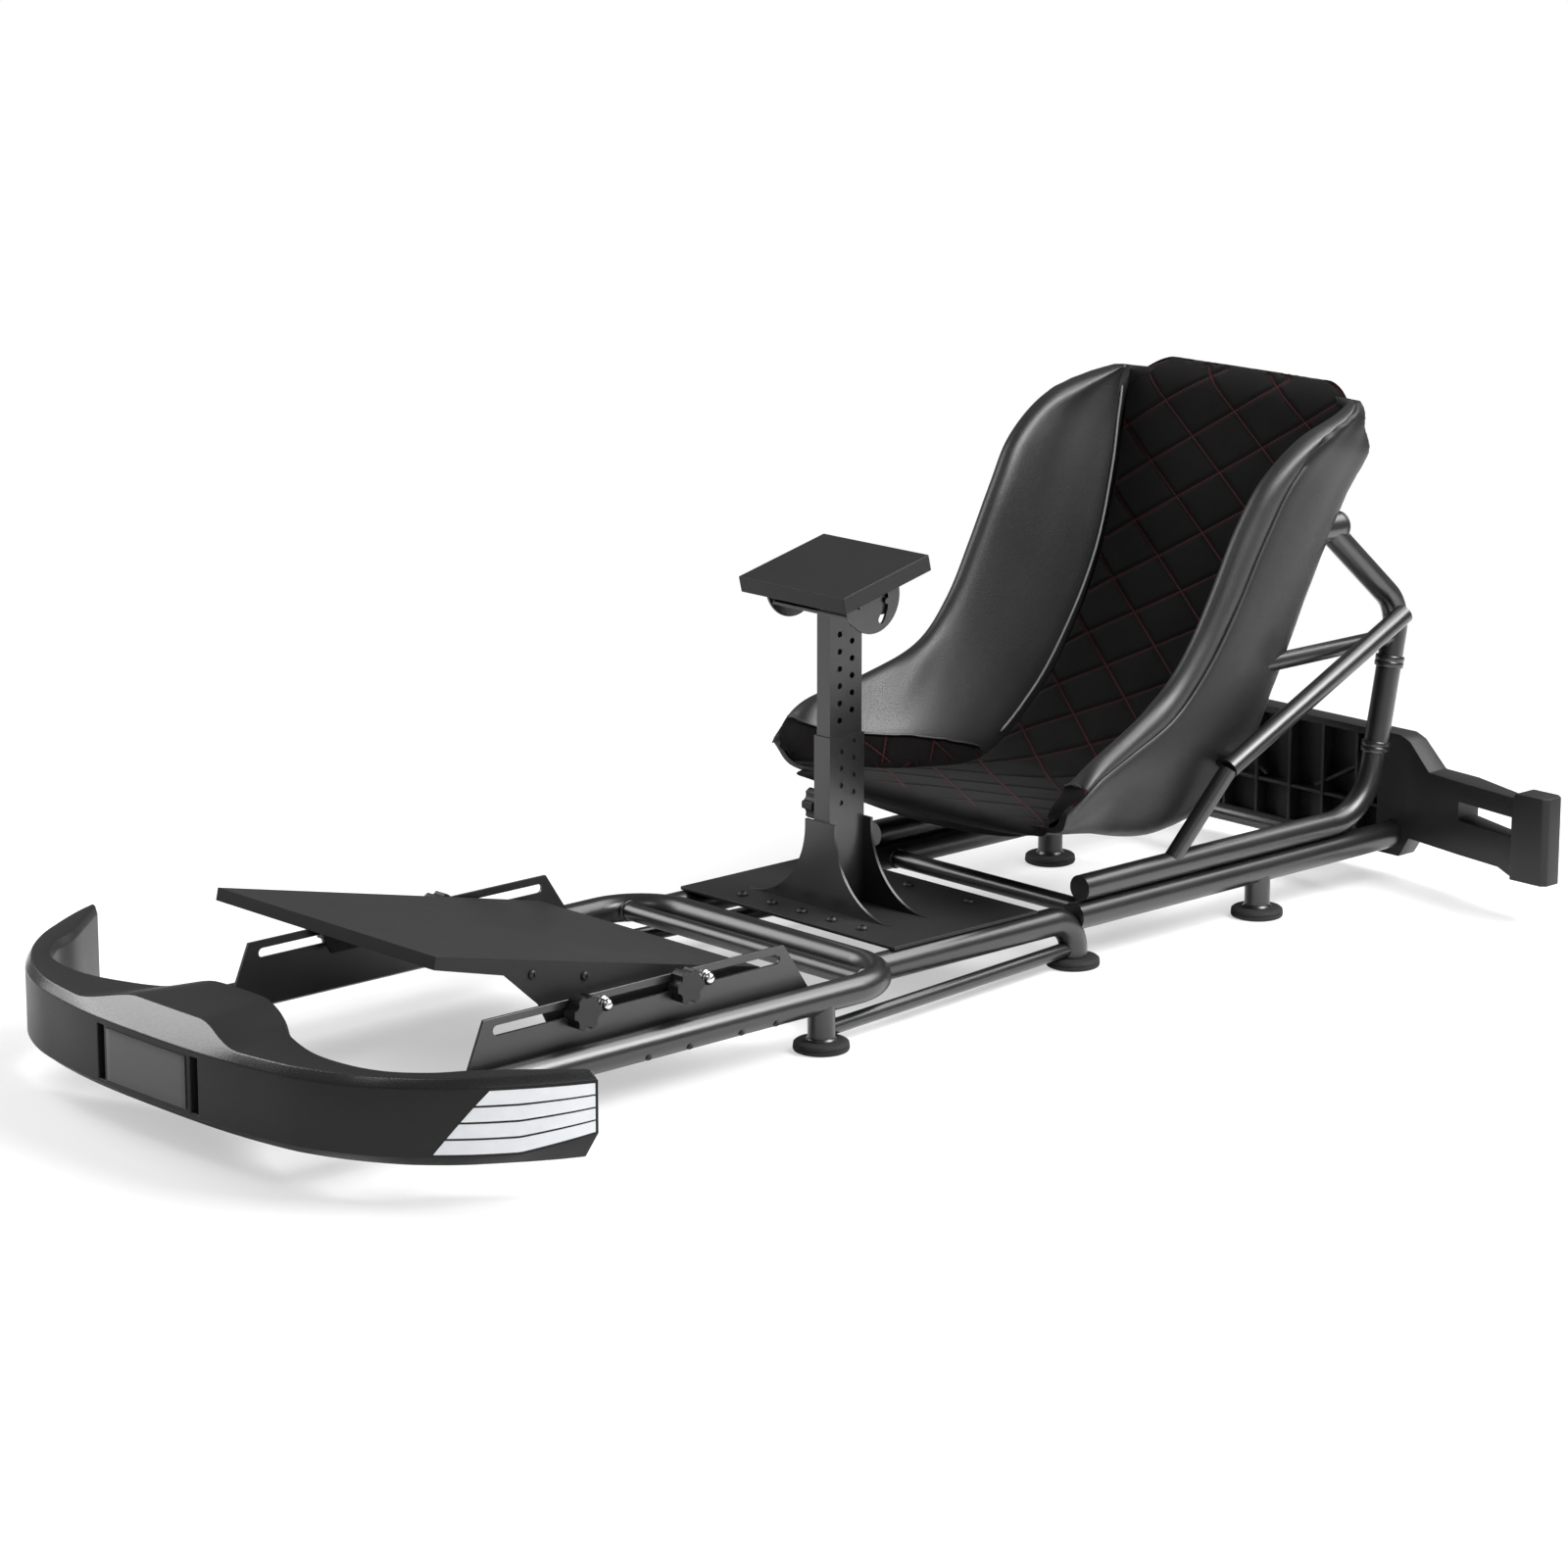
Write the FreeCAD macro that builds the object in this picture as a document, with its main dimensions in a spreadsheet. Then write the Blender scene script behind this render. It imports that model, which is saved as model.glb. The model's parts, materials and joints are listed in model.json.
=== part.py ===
"""Kart-style racing simulator cockpit: tube frame, bumpers, pedal deck, wheel post and bucket seat.

Millimetres. +Z is up, the pedals are towards -Y, the driver's left is +X, and the origin is on the
floor under the middle of the whole length and width.
"""
import FreeCAD
import Part
import Sketcher
import math
import os

Vector = FreeCAD.Vector
X_AXIS = Vector(1, 0, 0)
Y_AXIS = Vector(0, 1, 0)
Z_AXIS = Vector(0, 0, 1)

SIZES = [
    ("tube_dia", "38", "main frame tube, outside diameter"),
    ("hoop_dia", "35", "seat hoop tube, outside diameter"),
    ("brace_dia", "28", "seat brace tube, outside diameter"),
    ("bar_dia", "24", "cross bars, struts and stays, outside diameter"),
    ("link_dia", "20", "low links between front and middle feet, diameter"),
    ("rail_height", "67", "height of the frame tube centres over the floor"),
    ("front_track", "500", "distance between the front rails, centre to centre"),
    ("rear_track", "396", "distance between the rear rails, centre to centre"),
    ("front_foot_y", "-170", "place of the front feet along the length"),
    ("mid_foot_y", "338", "place of the middle feet along the length"),
    ("rear_foot_y", "703", "place of the rear feet along the length"),
    ("foot_dia", "72", "rubber foot, diameter"),
    ("foot_height", "13", "rubber foot, height"),
    ("column_dia", "35", "foot column, diameter"),
    ("u_cross_y", "-25", "rear cross run of the front U tube"),
    ("u_bend", "85", "bend radius of the front U tube"),
    ("elbow_bend", "45", "bend radius of the middle rails' elbows"),
    ("front_bar_y", "-76", "front cross bar, place along the length"),
    ("mid_bar_y", "378", "middle cross bar, place along the length"),
    ("rear_bar_y", "905", "rear cross tube, place along the length"),
    ("bumper_wall", "16", "bumper wall left in front of the rail ends"),
    ("socket_gap", "0.3", "clearance round the rails in the bumper sockets"),
    ("bumper_front", "1020", "front face of the front bumper, distance from the origin"),
    ("bumper_half", "496", "front bumper, half of the width"),
    ("bumper_depth", "152", "front bumper, depth at the middle"),
    ("bumper_sweep", "272", "how far the front bumper's ends come back"),
    ("bumper_edge", "9", "front bumper, bevel along the edges"),
    ("bumper_low", "45", "underside of the front bumper over the floor"),
    ("bumper_height", "105", "front bumper, height of the arms"),
    ("hump_height", "16", "raised middle of the front bumper over the arms"),
    ("hump_half", "92", "raised middle of the front bumper, half of its width"),
    ("visor_depth", "34", "sloping face ahead of the raised middle"),
    ("bumper_slot_width", "10", "upright slots in the bumper face, width"),
    ("bumper_slot_height", "66", "upright slots in the bumper face, height"),
    ("bracket_height", "74", "pedal bracket top over the rail centres"),
    ("bracket_sheet", "4", "pedal bracket, thickness"),
    ("bracket_front", "-735", "pedal bracket, front corner"),
    ("bracket_rear", "-160", "pedal bracket, rear corner"),
    ("bracket_lean_front", "36", "pedal bracket, lean of the front edge"),
    ("bracket_lean_rear", "56", "pedal bracket, lean of the rear edge"),
    ("bracket_skirt", "10", "pedal bracket reach below the rail centres"),
    ("slot_drop", "16", "pedal slot centre line under the bracket top"),
    ("slot_width", "12", "pedal slot, width"),
    ("slot_front", "-678", "pedal slot, front end centre"),
    ("slot_rear", "-229", "pedal slot, rear end centre"),
    ("deck_gap", "14", "gap between the pedal plate and its brackets"),
    ("deck_length", "526", "pedal plate, length along the slope"),
    ("deck_front", "-754", "pedal plate, front edge"),
    ("deck_slope", "12.3", "pedal plate slope in degrees"),
    ("deck_rise", "101", "pedal plate front edge over the slot centre line"),
    ("deck_sheet", "4", "pedal plate, thickness"),
    ("deck_lip", "16", "pedal plate, depth of the front lip"),
    ("knob_front_y", "-553", "front star knobs, place along the length"),
    ("knob_pitch", "165", "distance from front to rear star knobs"),
    ("nut_offset", "40", "domed nuts behind the star knobs"),
    ("knob_dia", "44", "star knob, diameter"),
    ("knob_height", "20", "star knob, height"),
    ("scallop_dia", "15", "hollows round the star knobs, diameter"),
    ("stud_dia", "10", "clamp studs, diameter"),
    ("base_length", "262", "steering base plate, length"),
    ("base_front", "0", "steering base plate, front edge"),
    ("base_sheet", "5", "steering base plate, thickness"),
    ("post_y", "97", "post centre line"),
    ("post_deep", "57", "inner post, size along the length"),
    ("post_wide", "25", "inner post, size across"),
    ("post_wall", "2", "post and sleeve, wall"),
    ("post_gap", "0.5", "clearance between post and sleeve"),
    ("sleeve_height", "230", "sleeve over the base plate"),
    ("post_bottom", "62", "lower end of the inner post over the base plate"),
    ("post_length", "337", "inner post, length"),
    ("hole_dia", "8", "post and sleeve holes, diameter"),
    ("hole_pitch", "23", "post and sleeve holes, pitch"),
    ("hole_stagger", "22", "distance between the two columns of holes"),
    ("gusset_sheet", "4", "gusset, thickness"),
    ("gusset_flare", "108", "gusset, radius of the flare"),
    ("gusset_neck", "28", "gusset, half width at the top"),
    ("gusset_straight", "8", "gusset, upright edge over the flare"),
    ("head_wide", "146", "head bracket, width across"),
    ("head_long", "80", "head bracket, length"),
    ("head_tall", "35", "head bracket, height"),
    ("head_sheet", "4", "head bracket, thickness"),
    ("head_front", "52", "head bracket, front edge ahead of the post centre"),
    ("pivot_rise", "19", "tilt pin over the underside of the head bracket"),
    ("pivot_back", "14", "tilt pin behind the front edge of the head bracket"),
    ("lock_back", "46", "tilt lock bolt behind the tilt pin"),
    ("lock_dia", "8", "tilt lock bolt, diameter"),
    ("pin_gap", "0.4", "clearance round the tilt pin in the ears"),
    ("ear_sheet", "4", "wheel plate ears, thickness"),
    ("ear_gap", "0.5", "clearance between ears and head bracket"),
    ("wheel_width", "198", "wheel plate, width"),
    ("wheel_depth", "157", "wheel plate, depth along the slope"),
    ("wheel_sheet", "4", "wheel plate, thickness"),
    ("wheel_lip", "22", "wheel plate, depth of the lips"),
    ("ear_radius", "47", "wheel plate ears, radius of the round lower edge"),
    ("tilt_up", "32", "most upward tilt from rest in degrees"),
    ("tilt_down", "8", "most downward tilt from rest in degrees"),
    ("slot_play", "1", "clearance round the lock bolt in the curved slots"),
    ("wheel_tilt", "13.6", "wheel plate slope at rest in degrees"),
    ("wheel_front", "44", "wheel plate, front edge ahead of the tilt pin"),
    ("wheel_rise", "30", "wheel plate top over the tilt pin"),
    ("hoop_front", "349", "front end of the seat hoops"),
    ("hoop_back", "925", "seat hoops, lower bend"),
    ("hoop_bend", "90", "seat hoops, lower bend radius"),
    ("hoop_bend_top", "60", "seat hoops, upper bend radius"),
    ("hoop_lean", "60", "lean of the hoop risers over their height"),
    ("hoop_rise", "291", "upper bend of the hoops over the lower runs"),
    ("hoop_tip_back", "156", "hoop tips ahead of the upper bend"),
    ("hoop_tip_rise", "132", "hoop tips over the upper bend"),
    ("slide_gap", "0.3", "clearance between hoops and rails"),
    ("cap_length", "28", "hoop end cap, length"),
    ("boss_dia", "38", "seat back boss, diameter"),
    ("boss_length", "85", "seat back boss, length before it is cut to the shell"),
    ("brace_low_y", "604", "lower end of the seat braces"),
    ("brace_low_rise", "126", "lower end of the seat braces over the hoop runs"),
    ("strut_y", "520", "foot of the short struts on the hoops"),
    ("stay_rise", "250", "back stays over the hoop runs"),
    ("seat_wall", "12", "seat shell, thickness"),
    ("seat_width", "556", "seat shell, greatest width"),
    ("seat_length", "648", "seat, length from the nose to the top of the back"),
    ("seat_height", "550", "seat, height from the underside to the top"),
    ("pad_gap", "3", "clearance between pads and shell"),
    ("seat_lift", "-103.8", "height of the seat drawing against the hoop centres"),
    ("rear_face", "985", "front face of the rear bumper"),
    ("rear_thick", "35", "rear bumper, thickness"),
    ("rear_half", "510", "rear bumper, half of the width"),
    ("rear_margin", "20", "rear bumper, straight middle beyond the rail centres"),
    ("rear_block", "60", "rear bumper, width of the end blocks"),
    ("rear_wall", "10", "rear bumper, wall round its hollow front"),
    ("rear_slot_height", "26", "slots in the rear bumper arms, height"),
    ("rear_sweep", "50", "rear bumper, how far the ends come forward"),
    ("rear_low", "36", "rear bumper middle, underside over the floor"),
    ("rear_top", "212", "rear bumper middle, top over the floor"),
]

doc = FreeCAD.newDocument("cockpit")
sheet = doc.addObject("Spreadsheet::Sheet", "dims")
for row, (alias, number, meaning) in enumerate(SIZES, start=1):
    sheet.set(f"A{row}", meaning)
    sheet.set(f"B{row}", number)
    sheet.setAlias(f"B{row}", alias)
doc.recompute()


class Size:
    """A number from the sheet together with the expression that gives it."""

    def __init__(self, value, text):
        self.value = value
        self.text = text

    def joined(self, other, sign, result):
        """The size that an operator gives, with its expression."""
        other_text = other.text if isinstance(other, Size) else repr(other)
        return Size(result, f"({self.text} {sign} {other_text})")

    def __add__(self, other):
        return self.joined(other, "+", self.value + number_of(other))

    def __sub__(self, other):
        return self.joined(other, "-", self.value - number_of(other))

    def __mul__(self, other):
        return self.joined(other, "*", self.value * number_of(other))

    def __truediv__(self, other):
        return self.joined(other, "/", self.value / number_of(other))

    def __neg__(self):
        return Size(-self.value, f"(-1 * {self.text})")


def number_of(thing):
    """The plain number of a size or of a number."""
    return thing.value if isinstance(thing, Size) else float(thing)


def text_of(thing):
    """The expression of a size or of a number."""
    return thing.text if isinstance(thing, Size) else repr(float(thing))


def size(alias):
    """The size that a cell of the sheet holds."""
    return Size(float(sheet.get(alias)), "dims." + alias)


tube_dia = size("tube_dia")
tube_half = tube_dia / 2
hoop_dia = size("hoop_dia")
rail_height = size("rail_height")
rail_top = rail_height + tube_half
front_x = size("front_track") / 2
rear_x = size("rear_track") / 2
u_cross_y = size("u_cross_y")
hoop_z = rail_top + size("slide_gap") + hoop_dia / 2
slot_z = rail_height + size("bracket_height") - size("slot_drop")
base_top = rail_top + size("base_sheet")
post_y = size("post_y")
sleeve_inner_deep = size("post_deep") + size("post_gap") * 2
sleeve_inner_wide = size("post_wide") + size("post_gap") * 2
sleeve_deep = sleeve_inner_deep + size("post_wall") * 2
sleeve_wide = sleeve_inner_wide + size("post_wall") * 2
head_z = base_top + size("post_bottom") + size("post_length")
pivot_y = post_y - size("head_front") + size("pivot_back")
pivot_z = head_z + size("pivot_rise")
rear_face = size("rear_face")

# Plan of the front bumper's left half, from the middle to the end, in shares of its half width and
# sweep: outer x and y, then inner x and y. The last inner y values follow the outer sweep.
BUMPER_PLAN = [
    (0.0, 0.0, 0.0, 0.559),
    (0.125, 0.002, 0.09, 0.553),
    (0.242, 0.011, 0.177, 0.51),
    (0.397, 0.044, 0.294, 0.395),
    (0.528, 0.096, 0.437, 0.315),
    (0.645, 0.191, 0.552, 0.312),
    (0.75, 0.331, 0.647, 0.352),
    (0.839, 0.5, 0.728, 0.467),
    (0.911, 0.691, 0.79, 0.645),
    (0.968, 0.875, 0.873, 0.82),
    (1.0, 1.0, 0.947, 0.972),
]

finished = []


def keep(item, label):
    """Name a finished sub-part, so that it is written out."""
    item.Label = label
    finished.append(item)
    return item


def bind(item, **bindings):
    """Tie properties of an object to expressions of the sheet."""
    for path, amount in bindings.items():
        item.setExpression(path.replace("__", "."), text_of(amount))


def set_place(item, spot, rotation=FreeCAD.Rotation()):
    """Place an object at a spot given as sizes, and tie the spot to the sheet."""
    item.Placement = FreeCAD.Placement(Vector(*[number_of(c) for c in spot]), rotation)
    bind(item, Placement__Base__x=spot[0], Placement__Base__y=spot[1], Placement__Base__z=spot[2])


def rod(name, diameter, length, spot, direction):
    """A round bar from a spot along a direction."""
    bar = doc.addObject("Part::Cylinder", name)
    bar.Radius = number_of(diameter) / 2
    bar.Height = number_of(length)
    bind(bar, Radius=diameter / 2, Height=length)
    set_place(bar, spot, FreeCAD.Rotation(Z_AXIS, direction))
    return bar


def block(name, length, width, height, spot):
    """A rectangular block from its lowest corner."""
    item = doc.addObject("Part::Box", name)
    bind(item, Length=length, Width=width, Height=height)
    set_place(item, spot)
    return item


def cut(name, base, *tools):
    """A base solid with the tools taken away, one after another."""
    result = base
    for index, tool in enumerate(tools):
        step = doc.addObject("Part::Cut", f"{name}_cut{index}")
        step.Base = result
        step.Tool = tool
        result = step
    return result


def fuse(name, *shapes):
    """Several solids joined to one."""
    joined = doc.addObject("Part::MultiFuse", name)
    joined.Shapes = list(shapes)
    return joined


def mirrored(item, label):
    """The same piece on the driver's right."""
    twin = doc.addObject("Part::Mirroring", label)
    twin.Source = item
    twin.Normal = X_AXIS
    return keep(twin, label)


def feature(name, shape):
    """A sub-part whose shape is worked out by the functions of this file."""
    item = doc.addObject("Part::Feature", name)
    item.Shape = shape
    return item


def origin_plane(body, role):
    """One of a body's own origin planes."""
    return [item for item in body.Origin.OriginFeatures if item.Role == role][0]


def outline(body, name, role, offset, corners, radii=None):
    """Sketch a closed outline from corners given as sizes, with arcs where a radius is given.

    radii maps the index of a corner to (radius, centre): the edge that leaves that corner is an arc.
    """
    radii = radii or {}
    sketch = body.newObject("Sketcher::SketchObject", name)
    sketch.AttachmentSupport = [(origin_plane(body, role), "")]
    sketch.MapMode = "FlatFace"
    bind(sketch, AttachmentOffset__Base__z=offset)
    points = [Vector(number_of(a), number_of(b), 0) for a, b in corners]
    count = len(points)
    ends = []
    for index in range(count):
        start, stop = points[index], points[(index + 1) % count]
        if index in radii:
            radius, centre = radii[index]
            middle = Vector(number_of(centre[0]), number_of(centre[1]), 0)
            first = math.atan2(start.y - middle.y, start.x - middle.x)
            last = math.atan2(stop.y - middle.y, stop.x - middle.x)
            backwards = math.sin(last - first) < 0
            low, high = (last, first) if backwards else (first, last)
            circle = Part.Circle(middle, Z_AXIS, number_of(radius))
            sketch.addGeometry(Part.ArcOfCircle(circle, low, high))
            ends.append((2, 1) if backwards else (1, 2))
        else:
            sketch.addGeometry(Part.LineSegment(start, stop))
            ends.append((1, 2))
    for index in range(count):
        follower = (index + 1) % count
        link = Sketcher.Constraint("Coincident", index, ends[index][1], follower, ends[follower][0])
        sketch.addConstraint(link)
    for index, (a, b) in enumerate(corners):
        for kind, amount in (("DistanceX", a), ("DistanceY", b)):
            place = Sketcher.Constraint(kind, -1, 1, index, ends[index][0], number_of(amount))
            number = sketch.addConstraint(place)
            sketch.setExpression(f"Constraints[{number}]", text_of(amount))
        if index in radii:
            bend = Sketcher.Constraint("Radius", index, number_of(radii[index][0]))
            number = sketch.addConstraint(bend)
            sketch.setExpression(f"Constraints[{number}]", text_of(radii[index][0]))
    return sketch


def pad(body, name, sketch, length, reverse=False):
    """Give a sketch its thickness."""
    solid = body.newObject("PartDesign::Pad", name)
    solid.Profile = sketch
    solid.Reversed = reverse
    bind(solid, Length=length)
    return solid


def plate(name, role, offset, corners, thickness, radii=None, reverse=False):
    """A flat plate on one of the origin planes, as a body of its own."""
    body = doc.addObject("PartDesign::Body", name)
    sketch = outline(body, name + "_outline", role, offset, corners, radii)
    pad(body, name + "_pad", sketch, thickness, reverse)
    return body


def rounded_path(points, radii):
    """A wire of straight runs joined by tangent arcs at its inner points."""
    edges = []
    begin = points[0]
    for index in range(1, len(points) - 1):
        corner = points[index]
        back = (points[index - 1] - corner).normalize()
        ahead = (points[index + 1] - corner).normalize()
        half_angle = back.getAngle(ahead) / 2
        run = radii[index - 1] / math.tan(half_angle)
        start = corner + back * run
        stop = corner + ahead * run
        bisector = (back + ahead).normalize()
        centre = corner + bisector * (radii[index - 1] / math.sin(half_angle))
        middle = centre - bisector * radii[index - 1]
        edges.append(Part.LineSegment(begin, start).toShape())
        edges.append(Part.Arc(start, middle, stop).toShape())
        begin = stop
    edges.append(Part.LineSegment(begin, points[-1]).toShape())
    return Part.Wire(edges)


def bent_tube(name, points, radii, diameter):
    """A bent tube, closed at its ends."""
    corners = [Vector(*[number_of(c) for c in point]) for point in points]
    path = rounded_path(corners, [number_of(radius) for radius in radii])
    circle = Part.Circle(corners[0], corners[1] - corners[0], number_of(diameter) / 2)
    shape = path.makePipeShell([Part.Wire(circle.toShape())], True, True)
    return feature(name, shape)


def rod_between(name, diameter, start, stop):
    """A round bar from one point to another."""
    first = Vector(*[number_of(c) for c in start])
    last = Vector(*[number_of(c) for c in stop])
    shape = Part.makeCylinder(number_of(diameter) / 2, first.distanceToPoint(last), first, last - first)
    return feature(name, shape)


def front_frame():
    """The U tube under the pedals, its cross bar and the front feet."""
    rail_front = front_rail_end()
    corners = [(front_x, rail_front, rail_height), (front_x, u_cross_y, rail_height),
               (-front_x, u_cross_y, rail_height), (-front_x, rail_front, rail_height)]
    u_tube = bent_tube("front_u_tube", corners, [size("u_bend")] * 2, tube_dia)
    keep(u_tube, "front_u_tube")
    bar_start = (-front_x, size("front_bar_y"), rail_height)
    bar = rod("front_bar_raw", size("bar_dia"), front_x * 2, bar_start, X_AXIS)
    keep(cut("front_bar", bar, u_tube), "front_cross_bar")
    return u_tube


def foot(name, x, y, column_top):
    """A rubber disc with the steel column that stands on it."""
    body = doc.addObject("PartDesign::Body", name)
    radius = size("foot_dia") / 2
    column = size("column_dia") / 2
    rim = size("foot_height")
    corners = [(0, 0), (radius - rim * 0.15, 0), (radius, rim * 0.15), (radius, rim * 0.55),
               (radius - rim * 0.3, rim * 0.8), (column + rim * 0.5, rim), (column, rim),
               (column, column_top), (0, column_top)]
    sketch = outline(body, name + "_profile", "XZ_Plane", 0, corners)
    turned = body.newObject("PartDesign::Revolution", name + "_turned")
    turned.Profile = sketch
    turned.ReferenceAxis = (sketch, ["V_Axis"])
    turned.Angle = 360
    set_place(body, (x, y, 0))
    return body


def front_rail_end():
    """Front ends of the rails: a wall's thickness behind the bumper's face, where they are farthest out."""
    share = (front_x + tube_half).value / size("bumper_half").value
    near, far = [pair for pair in zip(BUMPER_PLAN, BUMPER_PLAN[1:]) if pair[0][0] <= share][-1]
    swept = near[1] + (far[1] - near[1]) * (share - near[0]) / (far[0] - near[0])
    return -size("bumper_front") + size("bumper_sweep") * swept + size("bumper_wall")


def feet_and_links(u_tube, mid_rail, rear_rail):
    """Six feet, and the low links from the front to the middle feet."""
    front = foot("front_foot_body", front_x, size("front_foot_y"), rail_height)
    front_cut = keep(cut("front_foot", front, u_tube), "front_foot_left")
    mirrored(front_cut, "front_foot_right")
    mid = doc.addObject("Part::Cone", "mid_foot_disc")
    bind(mid, Radius1=size("foot_dia") / 2, Radius2=size("column_dia") / 2 + 6, Height=size("foot_height"))
    set_place(mid, (rear_x, size("mid_foot_y"), 0))
    keep(mid, "mid_foot_left")
    mirrored(mid, "mid_foot_right")
    rear = foot("rear_foot_body", rear_x, size("rear_foot_y"), rail_height)
    rear_cut = keep(cut("rear_foot", rear, rear_rail), "rear_foot_left")
    mirrored(rear_cut, "rear_foot_right")
    link_z = size("foot_height") + size("link_dia") / 2 + 2
    link = rod_between("link_raw", size("link_dia"), (front_x, size("front_foot_y"), link_z),
                       (rear_x, size("mid_foot_y"), link_z))
    link_cut = keep(cut("link", link, front_cut, mid_rail), "low_link_left")
    mirrored(link_cut, "low_link_right")


def u_tube_middle(x):
    """Where the middle line of the U tube's rear run or bend lies at a distance from the middle."""
    bend = size("u_bend").value
    past = max(0.0, abs(x) - (front_x.value - bend))
    return u_cross_y.value - bend + math.sqrt(max(0.0, bend * bend - past * past)) + 0.5


def middle_and_rear_frame(u_tube):
    """Middle rails with their elbows, rear rails and the bars across them."""
    corners = [(rear_x, u_tube_middle(rear_x.value), rail_height), (rear_x, size("mid_foot_y"), rail_height),
               (rear_x, size("mid_foot_y"), size("foot_height"))]
    mid_raw = bent_tube("mid_rail_raw", corners, [size("elbow_bend")], tube_dia)
    mid_rail = keep(cut("mid_rail", mid_raw, u_tube), "mid_rail_left")
    mirrored(mid_rail, "mid_rail_right")
    rear_raw = rod("rear_rail_raw", tube_dia, rear_face - size("mid_foot_y"),
                   (rear_x, size("mid_foot_y"), rail_height), Y_AXIS)
    rear_rail = keep(cut("rear_rail", rear_raw, mid_rail), "rear_rail_left")
    rear_twin = mirrored(rear_rail, "rear_rail_right")
    for label, y in (("mid_cross_bar", size("mid_bar_y")), ("rear_cross_bar", size("rear_bar_y"))):
        bar = rod(label + "_raw", size("bar_dia"), rear_x * 2, (-rear_x, y, rail_height), X_AXIS)
        keep(cut(label, bar, rear_rail, rear_twin), label)
    return mid_rail, rear_rail


def mirrored_outline(half):
    """A closed outline from its half on the driver's left, from the middle line round to it."""
    return half + [(-a, b) for a, b in reversed(half) if number_of(a) != 0]


def bumper_section(station, side):
    """One upright section of the front bumper: bevelled edges, and a sloping visor at the middle."""
    half = size("bumper_half").value
    sweep = size("bumper_sweep").value
    front = -size("bumper_front").value
    depth_share = size("bumper_depth").value / (BUMPER_PLAN[0][3] * sweep)
    x_out, y_out, x_in, y_in = station
    if x_in < 0.5:
        y_in = y_out + (y_in - y_out) * depth_share
    outer = Vector(side * x_out * half, front + y_out * sweep, 0)
    inner = Vector(side * x_in * half, front + y_in * sweep, 0)
    inward = inner - outer
    depth = inward.Length
    inward.normalize()
    edge = size("bumper_edge").value
    low = size("bumper_low").value
    arm_top = low + size("bumper_height").value
    fall = (x_out * half / size("hump_half").value - 0.7) / 1.1
    fall = min(1.0, max(0.0, fall))
    hump = 1.0 - fall * fall * (3.0 - 2.0 * fall)
    top = arm_top + hump * size("hump_height").value
    visor = edge + hump * (size("visor_depth").value - edge)
    end_rise = max(0.0, (y_out - 0.7) / 0.3) * 2.0 * edge
    profile = [(2.0 * edge, low), (0, low + 1.5 * edge + end_rise), (0, arm_top - 1.2 * edge), (visor, top),
               (depth - edge, top), (depth, top - edge), (depth, low + 0.3 * edge), (depth - 0.3 * edge, low)]
    corners = [outer + inward * d + Z_AXIS * z for d, z in profile]
    return Part.makePolygon(corners + [corners[0]])


def front_bumper():
    """A moulded bumper: swept round the front, with a raised middle, two slots and rail sockets."""
    sections = [bumper_section(station, -1) for station in reversed(BUMPER_PLAN[1:])]
    sections += [bumper_section(station, 1) for station in BUMPER_PLAN]
    shaped = feature("bumper_shaped", Part.makeLoft(sections, True, False))
    cutters = []
    slot_width = size("bumper_slot_width")
    slot_low = size("bumper_low") + (size("bumper_height") - size("bumper_slot_height")) / 2
    bore = tube_dia + size("socket_gap") * 2
    for side in (-1, 1):
        spot = (size("hump_half") * side - slot_width / 2, -size("bumper_front") - slot_width, slot_low)
        slot = block(f"bumper_slot_{side}", slot_width, slot_width * 3, size("bumper_slot_height"), spot)
        cutters.append(slot)
        spot = (front_x * side, front_rail_end(), rail_height)
        cutters.append(rod(f"bumper_socket_{side}", bore, size("bumper_depth"), spot, Y_AXIS))
    keep(cut("bumper", shaped, *cutters), "front_bumper")


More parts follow.
